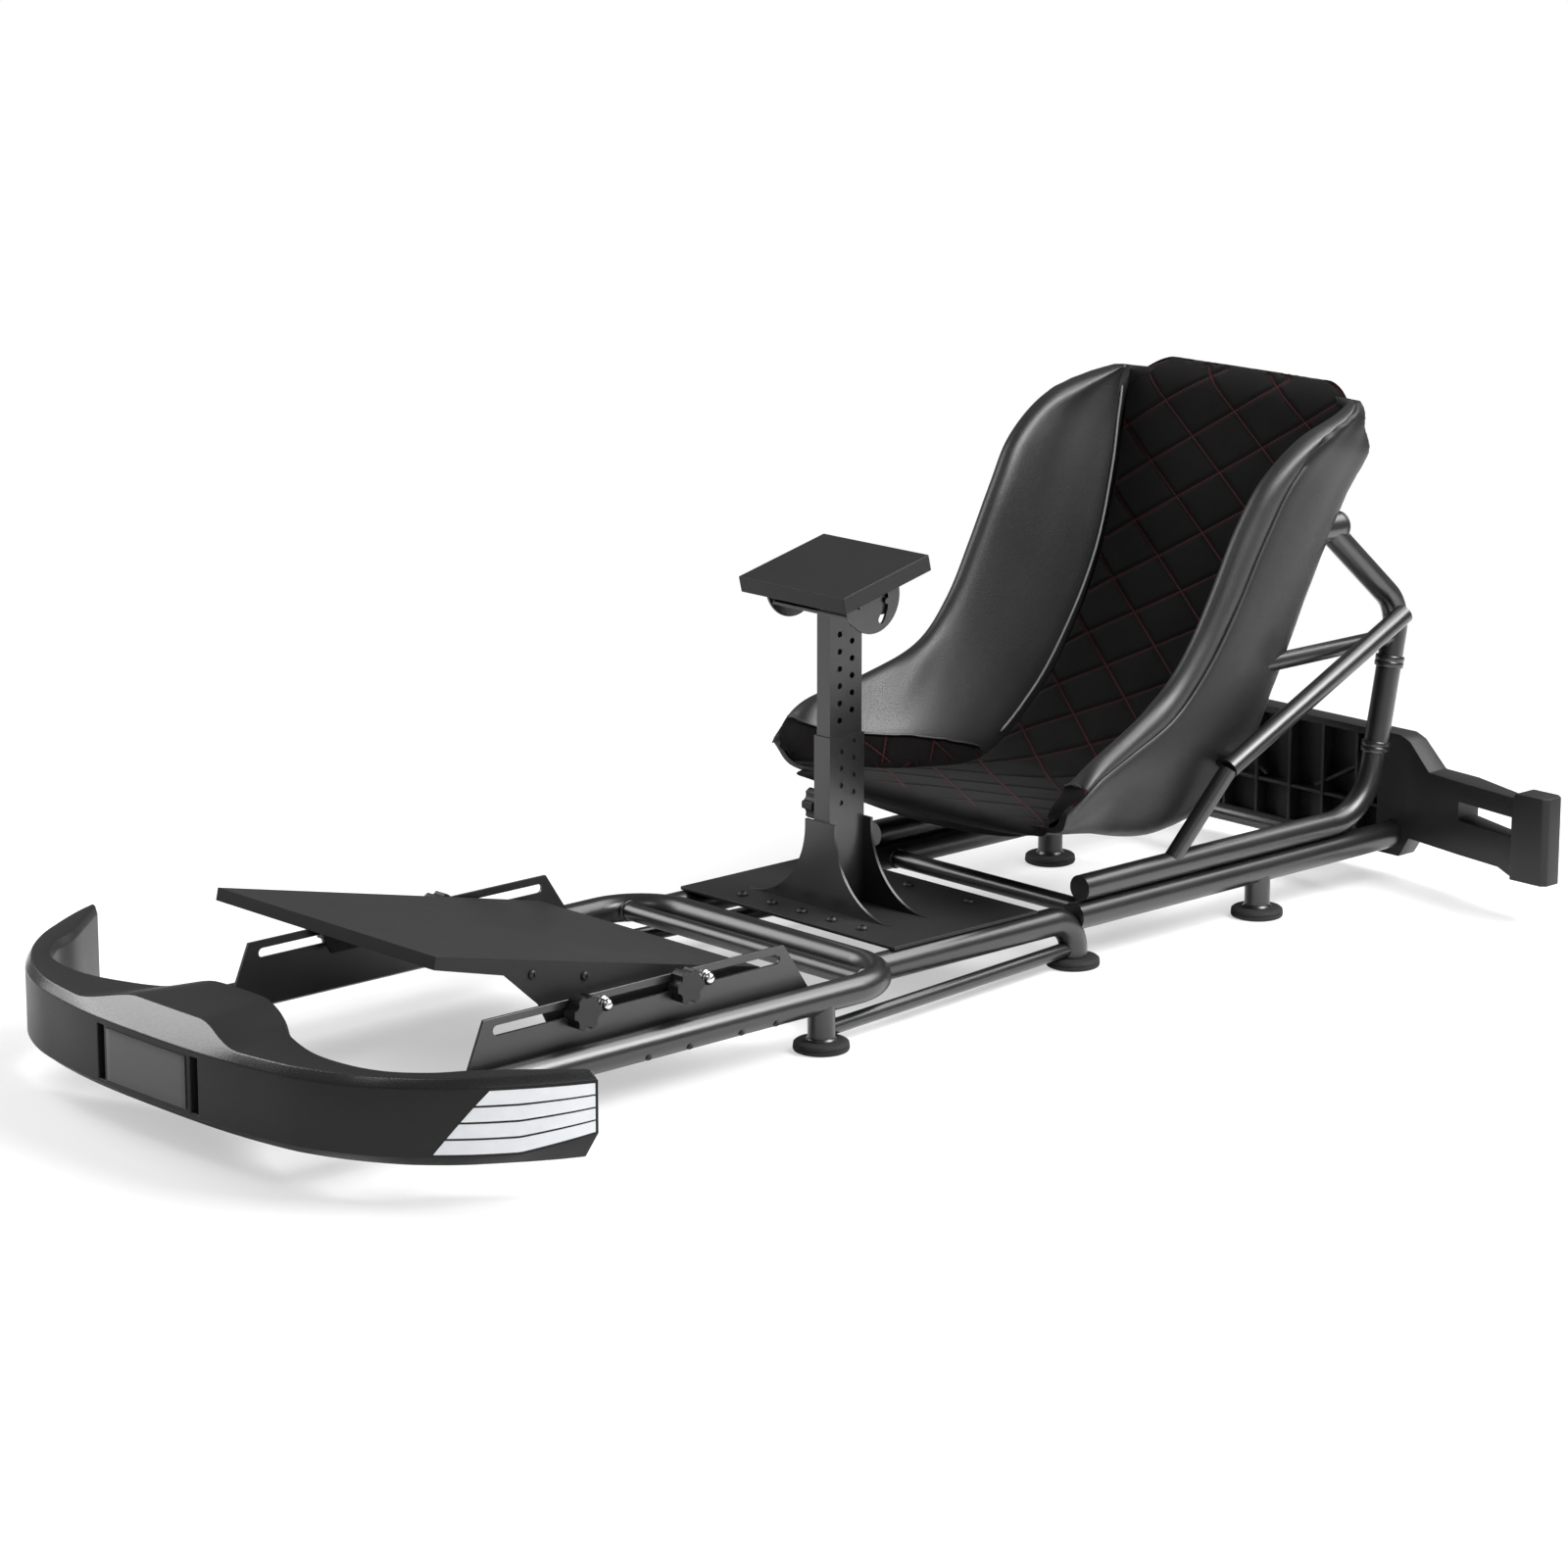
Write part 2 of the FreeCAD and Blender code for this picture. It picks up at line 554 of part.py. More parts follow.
def rear_bumper():
    """A swept rear bumper, hollow towards the seat, with a high middle, slotted arms and end blocks."""
    face = size("rear_face")
    thick = size("rear_thick")
    back = face + thick
    wide = size("rear_half")
    middle = rear_x + size("rear_margin")
    arm = wide - size("rear_block")
    knee = (middle + arm) / 2
    sweep = size("rear_sweep")
    tip = face - sweep
    plan_half = [(0, back), (middle, back), (knee, back - thick * 0.35), (arm, tip + thick),
                 (arm + thick * 0.2, tip + thick * 1.15), (wide - thick * 0.3, tip + thick * 1.15),
                 (wide, tip + thick * 0.9), (wide, tip + thick * 0.2), (wide - thick * 0.2, tip),
                 (arm, tip), (arm, tip + thick * 0.35), (knee, face - sweep * 0.42), (middle, face),
                 (0, face)]
    low = size("rear_low")
    top = size("rear_top")
    tall = top - low
    plan = plate("rear_bumper_plan", "XY_Plane", low, mirrored_outline(plan_half), tall)
    view_half = [(0, top), (middle * 0.96, top), (middle * 1.05, top - tall * 0.04),
                 (middle * 1.24, top - tall * 0.24), (arm, top - tall * 0.24),
                 (arm + thick * 0.15, top - tall * 0.18), (wide, top - tall * 0.18),
                 (wide, low + tall * 0.125), (arm - thick * 0.3, low + tall * 0.125),
                 (arm - thick, low + tall * 0.17), (middle * 1.06, low + tall * 0.17),
                 (middle * 0.97, low), (0, low)]
    view = plate("rear_bumper_view", "XZ_Plane", 0, mirrored_outline(view_half), back + thick, reverse=True)
    shaped = doc.addObject("Part::Common", "rear_bumper_shaped")
    shaped.Base = plan
    shaped.Tool = view
    wall = size("rear_wall")
    gap = (rear_x - tube_half - wall) * 2
    hollow_corner = (-gap / 2, face - wall, low + wall)
    cutters = [block("rear_hollow", gap, thick - wall * 0.7 + wall, tall - wall * 2, hollow_corner)]
    slot_start = knee
    slot_long = arm - thick * 0.2 - slot_start
    for side, start in ((-1, -(slot_start + slot_long)), (1, slot_start)):
        cutters.append(block(f"rear_slot_{side}", slot_long, sweep + thick * 2, size("rear_slot_height"),
                             (start, tip - thick, low + tall * 0.45)))
    keep(cut("rear_bumper", shaped, *cutters), "rear_bumper")


def pedal_brackets():
    """Upright slotted plates on the inner sides of the front rails."""
    top = rail_height + size("bracket_height")
    low = rail_height - size("bracket_skirt")
    corners = [(size("bracket_front"), low), (size("bracket_rear"), low),
               (size("bracket_rear") - size("bracket_lean_rear"), top),
               (size("bracket_front") + size("bracket_lean_front"), top)]
    inner_face = front_x - tube_half - size("bracket_sheet")
    body = plate("bracket_plate", "YZ_Plane", inner_face, corners, size("bracket_sheet"))
    half = size("slot_width") / 2
    ends = (size("slot_front"), size("slot_rear"))
    slot = fuse("bracket_slot",
                block("slot_run", size("bracket_sheet") + 20, ends[1] - ends[0], size("slot_width"),
                      (inner_face - 10, ends[0], slot_z - half)),
                rod("slot_front_end", size("slot_width"), size("bracket_sheet") + 20,
                    (inner_face - 10, ends[0], slot_z), X_AXIS),
                rod("slot_rear_end", size("slot_width"), size("bracket_sheet") + 20,
                    (inner_face - 10, ends[1], slot_z), X_AXIS))
    bracket = keep(cut("bracket", body, slot), "pedal_bracket_left")
    mirrored(bracket, "pedal_bracket_right")


def star_knob(name, spot, direction):
    """A round knob with hollows for the fingers round its rim."""
    body = doc.addObject("PartDesign::Body", name)
    radius = size("knob_dia") / 2
    disc = round_sketch(body, name + "_disc", radius, 0)
    solid = pad(body, name + "_pad", disc, size("knob_height"))
    doc.recompute()
    hollow = body.newObject("PartDesign::Pocket", name + "_hollow")
    scallop_place = radius + size("scallop_dia") * 0.2
    hollow.Profile = round_sketch(body, name + "_scallop", size("scallop_dia") / 2, scallop_place)
    hollow.Midplane = True
    hollow.Type = "ThroughAll"
    doc.recompute()
    ring = body.newObject("PartDesign::PolarPattern", name + "_ring")
    ring.Originals = [hollow]
    ring.Axis = (disc, ["N_Axis"])
    ring.Angle = 360
    ring.Occurrences = 6
    body.Tip = ring
    doc.recompute()
    if ring.Shape.Volume >= solid.Shape.Volume:
        raise RuntimeError(f"the hollows of {name} cut nothing")
    set_place(body, spot, FreeCAD.Rotation(Z_AXIS, direction))
    return body


def round_sketch(body, name, radius, offset):
    """A circle on a body's XY plane at a distance from its axis."""
    sketch = body.newObject("Sketcher::SketchObject", name)
    sketch.AttachmentSupport = [(origin_plane(body, "XY_Plane"), "")]
    sketch.MapMode = "FlatFace"
    sketch.addGeometry(Part.Circle(Vector(number_of(offset), 0, 0), Z_AXIS, number_of(radius)))
    if number_of(offset) == 0:
        sketch.addConstraint(Sketcher.Constraint("Coincident", 0, 3, -1, 1))
    else:
        number = sketch.addConstraint(Sketcher.Constraint("DistanceX", -1, 1, 0, 3, number_of(offset)))
        sketch.setExpression(f"Constraints[{number}]", text_of(offset))
        sketch.addConstraint(Sketcher.Constraint("PointOnObject", 0, 3, -1))
    number = sketch.addConstraint(Sketcher.Constraint("Radius", 0, number_of(radius)))
    sketch.setExpression(f"Constraints[{number}]", text_of(radius))
    return sketch


def pedal_plate(half):
    """The sloping plate, folded down at its front and along both sides."""
    slope = math.radians(size("deck_slope").value)
    thick = size("deck_sheet").value
    lip = size("deck_lip").value
    knob = size("knob_dia").value
    front = size("deck_front").value
    front_z = slot_z.value + size("deck_rise").value
    length = size("deck_length").value
    along = Vector(0, math.cos(slope), -math.sin(slope))
    down = Vector(0, -math.sin(slope), -math.cos(slope))
    corner = Vector(-half, front, front_z)
    rear = corner + along * length
    sheet_ring = [corner, rear, rear + down * thick, corner + down * thick, corner]
    shape = Part.Face(Part.makePolygon(sheet_ring)).extrude(X_AXIS * (2 * half))
    lip_top = corner + along * thick
    lip_ring = [corner, lip_top, lip_top + down * lip, corner + down * lip, corner]
    shape = shape.fuse(Part.Face(Part.makePolygon(lip_ring)).extrude(X_AXIS * (2 * half)))
    low_z = slot_z.value - knob * 0.35
    low_front = size("knob_front_y").value - knob
    low_rear = size("knob_front_y").value + size("knob_pitch").value + size("nut_offset").value + knob * 0.6
    for x in (-half, half - thick):
        start = Vector(x, front, front_z)
        end = start + along * length
        ring = [start, start + down * lip, start + along * (length * 0.21) + down * (lip * 1.25),
                Vector(x, low_front, low_z + knob * 0.6), Vector(x, low_front + knob * 0.3, low_z),
                Vector(x, low_rear, low_z), end + down * (2 * thick), end, start]
        shape = shape.fuse(Part.Face(Part.makePolygon(ring)).extrude(X_AXIS * thick))
    for step in (0.29, 0.45):
        centre = corner + along * (length * step) + down * (lip * 1.1) - X_AXIS * thick
        shape = shape.cut(Part.makeCylinder(size("hole_dia").value / 2, 4 * half, centre, X_AXIS))
    return keep(feature("pedal_sheet", shape.removeSplitter()), "pedal_plate")


def pedal_deck():
    """The pedal plate between its brackets, with the star knobs and the domed nuts that hold it."""
    bracket_face = front_x - tube_half
    flange_face = bracket_face - size("bracket_sheet") - size("deck_gap")
    pedal_plate(flange_face.value)
    shank = bracket_face - flange_face
    for label, y in (("front", size("knob_front_y")), ("rear", size("knob_front_y") + size("knob_pitch"))):
        stud_length = shank + size("knob_height") / 2
        stud = rod(f"knob_stud_{label}", size("stud_dia"), stud_length, (flange_face, y, slot_z), X_AXIS)
        head = star_knob(f"knob_head_{label}", (bracket_face, y, slot_z), X_AXIS)
        knob = keep(fuse(f"knob_{label}", stud, head), f"pedal_knob_{label}_left")
        mirrored(knob, f"pedal_knob_{label}_right")
        nut_y = y + size("nut_offset")
        stem_length = shank + size("stud_dia") / 2
        stem = rod(f"nut_stem_{label}", size("stud_dia"), stem_length, (flange_face, nut_y, slot_z), X_AXIS)
        collar_start = (bracket_face, nut_y, slot_z)
        collar = rod(f"nut_head_{label}", size("stud_dia") * 1.7, size("stud_dia") * 0.6, collar_start, X_AXIS)
        dome = doc.addObject("Part::Sphere", f"nut_dome_{label}")
        bind(dome, Radius=size("stud_dia") * 0.8)
        set_place(dome, (bracket_face + size("stud_dia") * 0.6, nut_y, slot_z))
        wide = size("stud_dia") * 2
        half_space = block(f"nut_cut_{label}", wide, wide, wide, (bracket_face - wide + size("stud_dia") * 0.5,
                                                                 nut_y - wide / 2, slot_z - wide / 2))
        cap = cut(f"nut_cap_{label}", dome, half_space)
        nut = keep(fuse(f"nut_{label}", stem, collar, cap), f"pedal_nut_{label}_left")
        mirrored(nut, f"pedal_nut_{label}_right")


def hole_grid(body, base, first_z, rows):
    """Two staggered columns of holes through both side walls of a post."""
    half = size("hole_stagger") / 2
    sketch = body.newObject("Sketcher::SketchObject", body.Name + "_holes")
    sketch.AttachmentSupport = [(origin_plane(body, "YZ_Plane"), "")]
    sketch.MapMode = "FlatFace"
    columns = ((post_y - half, first_z), (post_y + half, first_z + size("hole_pitch") / 2))
    for index, (y, z) in enumerate(columns):
        centre = Vector(number_of(y), number_of(z), 0)
        sketch.addGeometry(Part.Circle(centre, Z_AXIS, size("hole_dia").value / 2))
        for kind, amount in (("DistanceX", y), ("DistanceY", z)):
            number = sketch.addConstraint(Sketcher.Constraint(kind, -1, 1, index, 3, number_of(amount)))
            sketch.setExpression(f"Constraints[{number}]", text_of(amount))
        bore = Sketcher.Constraint("Radius", index, size("hole_dia").value / 2)
        number = sketch.addConstraint(bore)
        sketch.setExpression(f"Constraints[{number}]", (size("hole_dia") / 2).text)
    doc.recompute()
    pocket = body.newObject("PartDesign::Pocket", body.Name + "_pocket")
    pocket.Profile = sketch
    pocket.Midplane = True
    pocket.Type = "ThroughAll"
    doc.recompute()
    pattern = body.newObject("PartDesign::LinearPattern", body.Name + "_pattern")
    pattern.Originals = [pocket]
    pattern.Direction = (sketch, ["V_Axis"])
    pattern.Occurrences = rows
    bind(pattern, Length=size("hole_pitch") * (rows - 1))
    body.Tip = pattern
    doc.recompute()
    if pattern.Shape.Volume >= base.Shape.Volume:
        raise RuntimeError(f"the holes of {body.Name} cut nothing")


def box_tube(name, wide, deep, wall, bottom, height, first_hole, rows):
    """An upright rectangular tube on the post's centre line with holes in its sides."""
    body = doc.addObject("PartDesign::Body", name)
    half_w = wide / 2
    half_d = deep / 2
    corners = [(-half_w, post_y - half_d), (half_w, post_y - half_d),
               (half_w, post_y + half_d), (-half_w, post_y + half_d)]
    solid = pad(body, name + "_pad", outline(body, name + "_outline", "XY_Plane", bottom, corners), height)
    doc.recompute()
    inner_w = half_w - wall
    inner_d = half_d - wall
    hollow = [(-inner_w, post_y - inner_d), (inner_w, post_y - inner_d),
              (inner_w, post_y + inner_d), (-inner_w, post_y + inner_d)]
    bore = body.newObject("PartDesign::Pocket", name + "_bore")
    bore.Profile = outline(body, name + "_hollow", "XY_Plane", bottom, hollow)
    bore.Reversed = True
    bore.Type = "ThroughAll"
    doc.recompute()
    if bore.Shape.Volume >= solid.Shape.Volume:
        raise RuntimeError(f"the bore of {name} cuts nothing")
    hole_grid(body, bore, first_hole, rows)
    return body


def steering_base():
    """The base plate on the middle rails, the flared gussets, the sleeve and its knob."""
    half = rear_x + tube_half * 0.4
    keep(block("base_plate", half * 2, size("base_length"), size("base_sheet"),
               (-half, size("base_front"), rail_top)), "steering_base_plate")
    neck = size("gusset_neck")
    flare = size("gusset_flare")
    flare_top = base_top + flare
    top = flare_top + size("gusset_straight")
    wide = neck + flare
    corners = [(-wide, base_top), (wide, base_top), (neck, flare_top),
               (neck, top), (-neck, top), (-neck, flare_top)]
    radii = {1: (flare, (wide, flare_top)), 5: (flare, (-wide, flare_top))}
    rear_gusset_y = post_y + sleeve_deep / 2 + size("gusset_sheet")
    for label, y in (("front", post_y - sleeve_deep / 2), ("rear", rear_gusset_y)):
        keep(plate(f"gusset_{label}", "XZ_Plane", -y, corners, size("gusset_sheet"), radii), f"{label}_gusset")
    sleeve = box_tube("sleeve", sleeve_wide, sleeve_deep, size("post_wall"), base_top, size("sleeve_height"),
                      base_top + size("sleeve_height") * 0.61, 4)
    keep(sleeve, "post_sleeve")
    knob_z = base_top + size("sleeve_height") * 0.56
    neck_long = size("stud_dia") * 1.4
    stud_start = (-sleeve_wide / 2, post_y, knob_z)
    stud = rod("clamp_stud", size("stud_dia"), neck_long + size("knob_height") / 2, stud_start, -X_AXIS)
    head = star_knob("clamp_head", (-sleeve_wide / 2 - neck_long, post_y, knob_z), -X_AXIS)
    keep(fuse("clamp_knob", stud, head), "post_knob")


def steering_post():
    """The inner post with its holes, the head bracket, the tilt pin and the tilt lock bolt."""
    bottom = base_top + size("post_bottom")
    post = box_tube("post", size("post_wide"), size("post_deep"), size("post_wall"), bottom, size("post_length"),
                    base_top + size("sleeve_height") * 1.09, 6)
    keep(post, "steering_post")
    front = post_y - size("head_front")
    half = size("head_wide") / 2
    outer = block("head_outer", half * 2, size("head_long"), size("head_tall"), (-half, front, head_z))
    inner = block("head_inner", (half - size("head_sheet")) * 2, size("head_long") + 2, size("head_tall"),
                  (-half + size("head_sheet"), front - 1, head_z + size("head_sheet")))
    pin_reach = half + size("ear_gap") + size("ear_sheet") + 4
    pin = rod("tilt_pin_raw", size("stud_dia"), pin_reach * 2, (-pin_reach, pivot_y, pivot_z), X_AXIS)
    lock_start = (-pin_reach, pivot_y + size("lock_back"), pivot_z)
    lock = rod("tilt_lock_raw", size("lock_dia"), pin_reach * 2, lock_start, X_AXIS)
    keep(cut("head", outer, inner, pin, lock), "post_head")
    keep(pin, "tilt_pin")
    keep(lock, "tilt_lock_bolt")


def wheel_plate():
    """The lipped wheel plate and its two ears with curved slots, drawn level and tilted to rest."""
    thick = size("wheel_sheet").value
    half = size("wheel_width").value / 2
    depth = size("wheel_depth").value
    lip = size("wheel_lip").value
    front = -size("wheel_front").value
    top = size("wheel_rise").value
    pan = Part.makeBox(2 * half, depth, lip, Vector(-half, front, top - lip))
    hollow_corner = Vector(-half + thick, front + thick, top - lip - thick)
    hollow = Part.makeBox(2 * (half - thick), depth - 2 * thick, lip, hollow_corner)
    tilt = size("wheel_tilt").value
    place = FreeCAD.Placement(Vector(0, pivot_y.value, pivot_z.value), FreeCAD.Rotation(X_AXIS, tilt))
    item = feature("wheel_plate", pan.cut(hollow))
    item.Placement = place
    keep(item, "wheel_plate")
    left = feature("wheel_ear", wheel_ear(top - thick, tilt))
    left.Placement = place
    keep(left, "wheel_ear_left")
    mirrored(left, "wheel_ear_right")


def wheel_ear(under, tilt):
    """A round ear under the wheel plate: a bore for the tilt pin and a curved slot for the lock bolt."""
    inner = size("head_wide").value / 2 + size("ear_gap").value
    thick = size("ear_sheet").value
    reach = size("lock_back").value
    radius = size("ear_radius").value
    slot_half = size("lock_dia").value / 2 + size("slot_play").value

    def disc(r, y, z):
        """A thin disc in the plane of the ear."""
        return Part.makeCylinder(r, thick, Vector(inner, y, z), X_AXIS)

    middle = reach * 0.55
    ear = disc(radius, middle, 0)
    ear = ear.cut(Part.makeBox(thick, 4 * radius, radius * 2, Vector(inner, middle - 2 * radius, under)))
    web = Part.makeBox(thick, 2 * radius, under, Vector(inner, middle - radius, 0))
    ear = ear.fuse(web)
    ear = ear.cut(disc(size("stud_dia").value / 2 + size("pin_gap").value, 0, 0))
    band = disc(reach + slot_half, 0, 0).cut(disc(reach - slot_half, 0, 0))
    high = math.radians(size("tilt_down").value - tilt)
    low = math.radians(-size("tilt_up").value - tilt)
    ray = [Vector(inner, 0, 0)]
    for angle in (low, (low + high) / 2, high):
        ray.append(Vector(inner, 3 * reach * math.cos(angle), 3 * reach * math.sin(angle)))
    wedge = Part.Face(Part.makePolygon(ray + [ray[0]])).extrude(X_AXIS * thick)
    slot = band.common(wedge)
    for angle in (low, high):
        slot = slot.fuse(disc(slot_half, reach * math.cos(angle), reach * math.sin(angle)))
    return ear.cut(slot).removeSplitter()


# Sections of the bucket from the nose to the top of the back: panel y and z, rim y and z,
# half width of the panel, half width of the rim, thickness under the panel.
SEAT_STATIONS = [
    (232, 216, 224, 244, 240, 262, 38),
    (290, 214, 268, 282, 212, 270, 44),
    (400, 203, 378, 320, 172, 246, 46),
    (515, 203, 462, 356, 156, 230, 76),
    (620, 270, 518, 412, 158, 228, 122),
    (698, 352, 560, 480, 166, 230, 74),
    (772, 462, 606, 562, 178, 232, 36),
    (818, 568, 652, 624, 194, 238, 34),
    (846, 647, 730, 672, 208, 241, 42),
    (862, 695, 823, 699, 208, 234, 36),
    (876, 716, 860, 712, 190, 205, 26),
]


def seat_loft(section_of):
    """A loft through the sections that a function draws at each station."""
    lift = size("seat_lift").value + hoop_z.value
    wide = size("seat_width").value / 556.0
    long = size("seat_length").value / 648.0
    tall = size("seat_height").value / 550.0
    fixed_y = 800.0
    fixed_z = 527.0
    wires = []
    for panel_y, panel_z, rim_y, rim_z, panel_half, rim_half, thick in SEAT_STATIONS:
        origin = Vector(0, fixed_y + (panel_y - fixed_y) * long, fixed_z + (panel_z - fixed_z) * tall + lift)
        upward = Vector(0, (rim_y - panel_y) * long, (rim_z - panel_z) * tall)
        height = upward.Length
        upward.normalize()
        points = section_of(height, panel_half * wide, rim_half * wide, thick)
        corners = [origin + X_AXIS * x + upward * s for x, s in points]
        wires.append(Part.makePolygon(corners + [corners[0]]))
    return Part.makeLoft(wires, True, False)


def shell_outside(height, panel_half, rim_half, thick):
    """Half of the bucket's outer skin, from the rim down to the middle."""
    spread = rim_half - panel_half
    return [(rim_half + 16, 0.85 * height), (rim_half + 12, 0.55 * height),
            (panel_half + 0.55 * spread + 14, 0.18 * height - 0.25 * thick),
            (panel_half + 0.12 * spread + 14, -0.72 * thick), (panel_half - 6, -thick)]


def shell_inside(height, panel_half, rim_half, thick, wall):
    """The same half skin, one wall further in."""
    rim, side, knee, corner, floor = shell_outside(height, panel_half, rim_half, thick)
    return [(rim[0] - wall, rim[1]), (side[0] - wall, side[1]), (knee[0] - 0.9 * wall, knee[1] + 0.45 * wall),
            (corner[0] - 0.75 * wall, corner[1] + 0.7 * wall), (floor[0], floor[1] + wall)]


def both_sides(half):
    """A line of points from the driver's left round to the right."""
    return half + [(-x, s) for x, s in reversed(half)]


def envelope_section(height, panel_half, rim_half, thick):
    """Everything inside the outer skin, to cut the fixings to."""
    return both_sides(shell_outside(height, panel_half, rim_half, thick))


def shell_section(height, panel_half, rim_half, thick):
    """The skin of the bucket, open to the driver."""
    outside = shell_outside(height, panel_half, rim_half, thick)
    inside = shell_inside(height, panel_half, rim_half, thick, size("seat_wall").value)
    return both_sides(outside) + list(reversed(both_sides(inside)))


def centre_pad_section(height, panel_half, rim_half, thick):
    """The quilted middle of the back and the seat."""
    wall = size("seat_wall").value + size("pad_gap").value
    return both_sides([(panel_half, 0), (panel_half, -0.5 * thick), (panel_half - 14, -thick + wall)])


def bolster_section(height, panel_half, rim_half, thick):
    """The smooth side padding from the middle pad up to the rim."""
    gap = size("pad_gap").value
    wall = size("seat_wall").value + gap
    rim, side, knee, corner, floor = shell_inside(height, panel_half, rim_half, thick, wall)
    return [(panel_half + gap, 0), (rim_half - 20, 0.93 * height), (rim_half - 4, height),
            rim, side, knee, corner, (panel_half + gap, -0.5 * thick)]


def seat():
    """The bucket seat: shell, middle pad and side bolsters."""
    shell = keep(feature("seat_shell", seat_loft(shell_section)), "seat_shell")
    pad_loft = feature("pad_loft", seat_loft(centre_pad_section))
    keep(cut("centre_pad", pad_loft, shell), "seat_center_pad")
    bolster_loft = feature("bolster_loft", seat_loft(bolster_section))
    bolster = keep(cut("bolster", bolster_loft, shell), "seat_bolster_left")
    mirrored(bolster, "seat_bolster_right")
    return feature("seat_envelope", seat_loft(envelope_section))


def seat_carrier(envelope):
    """Bent hoops on the rear rails, with caps, braces, struts, stays and the seat's fixings."""
    turn_y = size("hoop_back") + size("hoop_lean")
    turn_z = hoop_z + size("hoop_rise")
    tip_y = turn_y - size("hoop_tip_back")
    tip_z = turn_z + size("hoop_tip_rise")
    start = size("hoop_front") + size("cap_length")
    points = [(rear_x, start, hoop_z), (rear_x, size("hoop_back"), hoop_z), (rear_x, turn_y, turn_z),
              (rear_x, tip_y, tip_z)]
    hoop_raw = bent_tube("hoop_raw", points, [size("hoop_bend"), size("hoop_bend_top")], hoop_dia)
    boss_y = tip_y - size("boss_length") + size("boss_dia") * 0.68
    boss_raw = rod("boss_raw", size("boss_dia"), size("boss_length"), (rear_x, boss_y, tip_z), Y_AXIS)
    boss = keep(cut("boss", boss_raw, envelope), "seat_boss_left")
    mirrored(boss, "seat_boss_right")
    hoop = keep(cut("hoop", hoop_raw, boss, envelope), "seat_hoop_left")
    mirrored(hoop, "seat_hoop_right")
    cap = rod("cap_raw", hoop_dia, size("cap_length"), (rear_x, size("hoop_front"), hoop_z), Y_AXIS)
    keep(cap, "hoop_cap_left")
    mirrored(cap, "hoop_cap_right")
    brace_x = rear_x + hoop_dia / 2 + size("brace_dia") / 2
    low = (brace_x, size("brace_low_y"), hoop_z + size("brace_low_rise"))
    brace_end = (brace_x, turn_y - hoop_dia * 0.7, turn_z - hoop_dia * 0.06)
    brace = keep(rod_between("brace", size("brace_dia"), low, brace_end), "seat_brace_left")
    mirrored(brace, "seat_brace_right")
    strut_raw = rod_between("strut_raw", size("bar_dia"), (rear_x, size("strut_y"), hoop_z), low)
    strut = keep(cut("strut", strut_raw, hoop, brace), "seat_strut_left")
    mirrored(strut, "seat_strut_right")
    lug_raw = rod("lug_raw", size("bar_dia"), brace_x - rear_x * 0.65,
                  (rear_x * 0.65, low[1] + size("brace_dia") / 2, low[2] + size("brace_dia") / 4), X_AXIS)
    lug = keep(cut("lug", lug_raw, envelope, brace), "seat_lug_left")
    mirrored(lug, "seat_lug_right")
    stay_start = size("hoop_back") * 0.735
    stay_low = (rear_x, stay_start, hoop_z + size("stay_rise"))
    stay_raw = rod("stay_raw", size("bar_dia"), turn_y - stay_start, stay_low, Y_AXIS)
    stay = keep(cut("stay", stay_raw, envelope, hoop), "seat_stay_left")
    mirrored(stay, "seat_stay_right")


u_tube = front_frame()
mid_rail, rear_rail = middle_and_rear_frame(u_tube)
feet_and_links(u_tube, mid_rail, rear_rail)
front_bumper()
rear_bumper()
pedal_brackets()
pedal_deck()
steering_base()
steering_post()
wheel_plate()
seat_carrier(seat())
doc.recompute()

for item in doc.Objects:
    if "Invalid" in item.State or "Error" in item.State:
        raise RuntimeError(f"{item.Name} failed: {item.State}")
for item in finished:
    if item.Shape.isNull() or not item.Shape.isValid() or not item.Shape.Solids:
        raise RuntimeError(f"{item.Label} has no valid solid")

os.makedirs("parts", exist_ok=True)
for item in finished:
    item.Shape.exportStep(f"parts/{item.Label}.step")
print(len(finished), "sub-parts written")
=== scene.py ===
"""Kart-style racing cockpit: looks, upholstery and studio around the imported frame."""
import json
import math
from collections import namedtuple
from contextlib import contextmanager
import bpy
import numpy as np
from bpy.props import FloatProperty, FloatVectorProperty, PointerProperty
from mathutils import Matrix, Vector

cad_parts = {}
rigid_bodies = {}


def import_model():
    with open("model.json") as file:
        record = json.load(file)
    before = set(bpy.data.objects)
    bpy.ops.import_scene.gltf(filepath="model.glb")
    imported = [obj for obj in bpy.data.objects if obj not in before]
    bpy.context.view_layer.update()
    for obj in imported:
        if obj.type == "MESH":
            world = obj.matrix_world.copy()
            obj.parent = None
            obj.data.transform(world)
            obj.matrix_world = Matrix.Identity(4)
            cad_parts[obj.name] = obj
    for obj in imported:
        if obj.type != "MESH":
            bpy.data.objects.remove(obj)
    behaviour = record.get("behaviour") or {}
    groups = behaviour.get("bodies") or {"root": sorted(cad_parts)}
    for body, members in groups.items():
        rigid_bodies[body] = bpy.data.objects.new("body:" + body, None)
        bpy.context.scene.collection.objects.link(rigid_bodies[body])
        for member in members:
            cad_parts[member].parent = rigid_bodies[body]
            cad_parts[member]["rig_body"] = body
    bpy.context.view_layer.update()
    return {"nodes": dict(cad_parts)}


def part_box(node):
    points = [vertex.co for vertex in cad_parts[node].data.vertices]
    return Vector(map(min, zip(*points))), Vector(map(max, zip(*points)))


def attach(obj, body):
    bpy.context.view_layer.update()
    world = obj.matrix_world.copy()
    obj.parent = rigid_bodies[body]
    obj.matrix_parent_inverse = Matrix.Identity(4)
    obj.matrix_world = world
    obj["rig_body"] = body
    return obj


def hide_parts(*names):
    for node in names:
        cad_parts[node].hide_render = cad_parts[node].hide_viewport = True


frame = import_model()
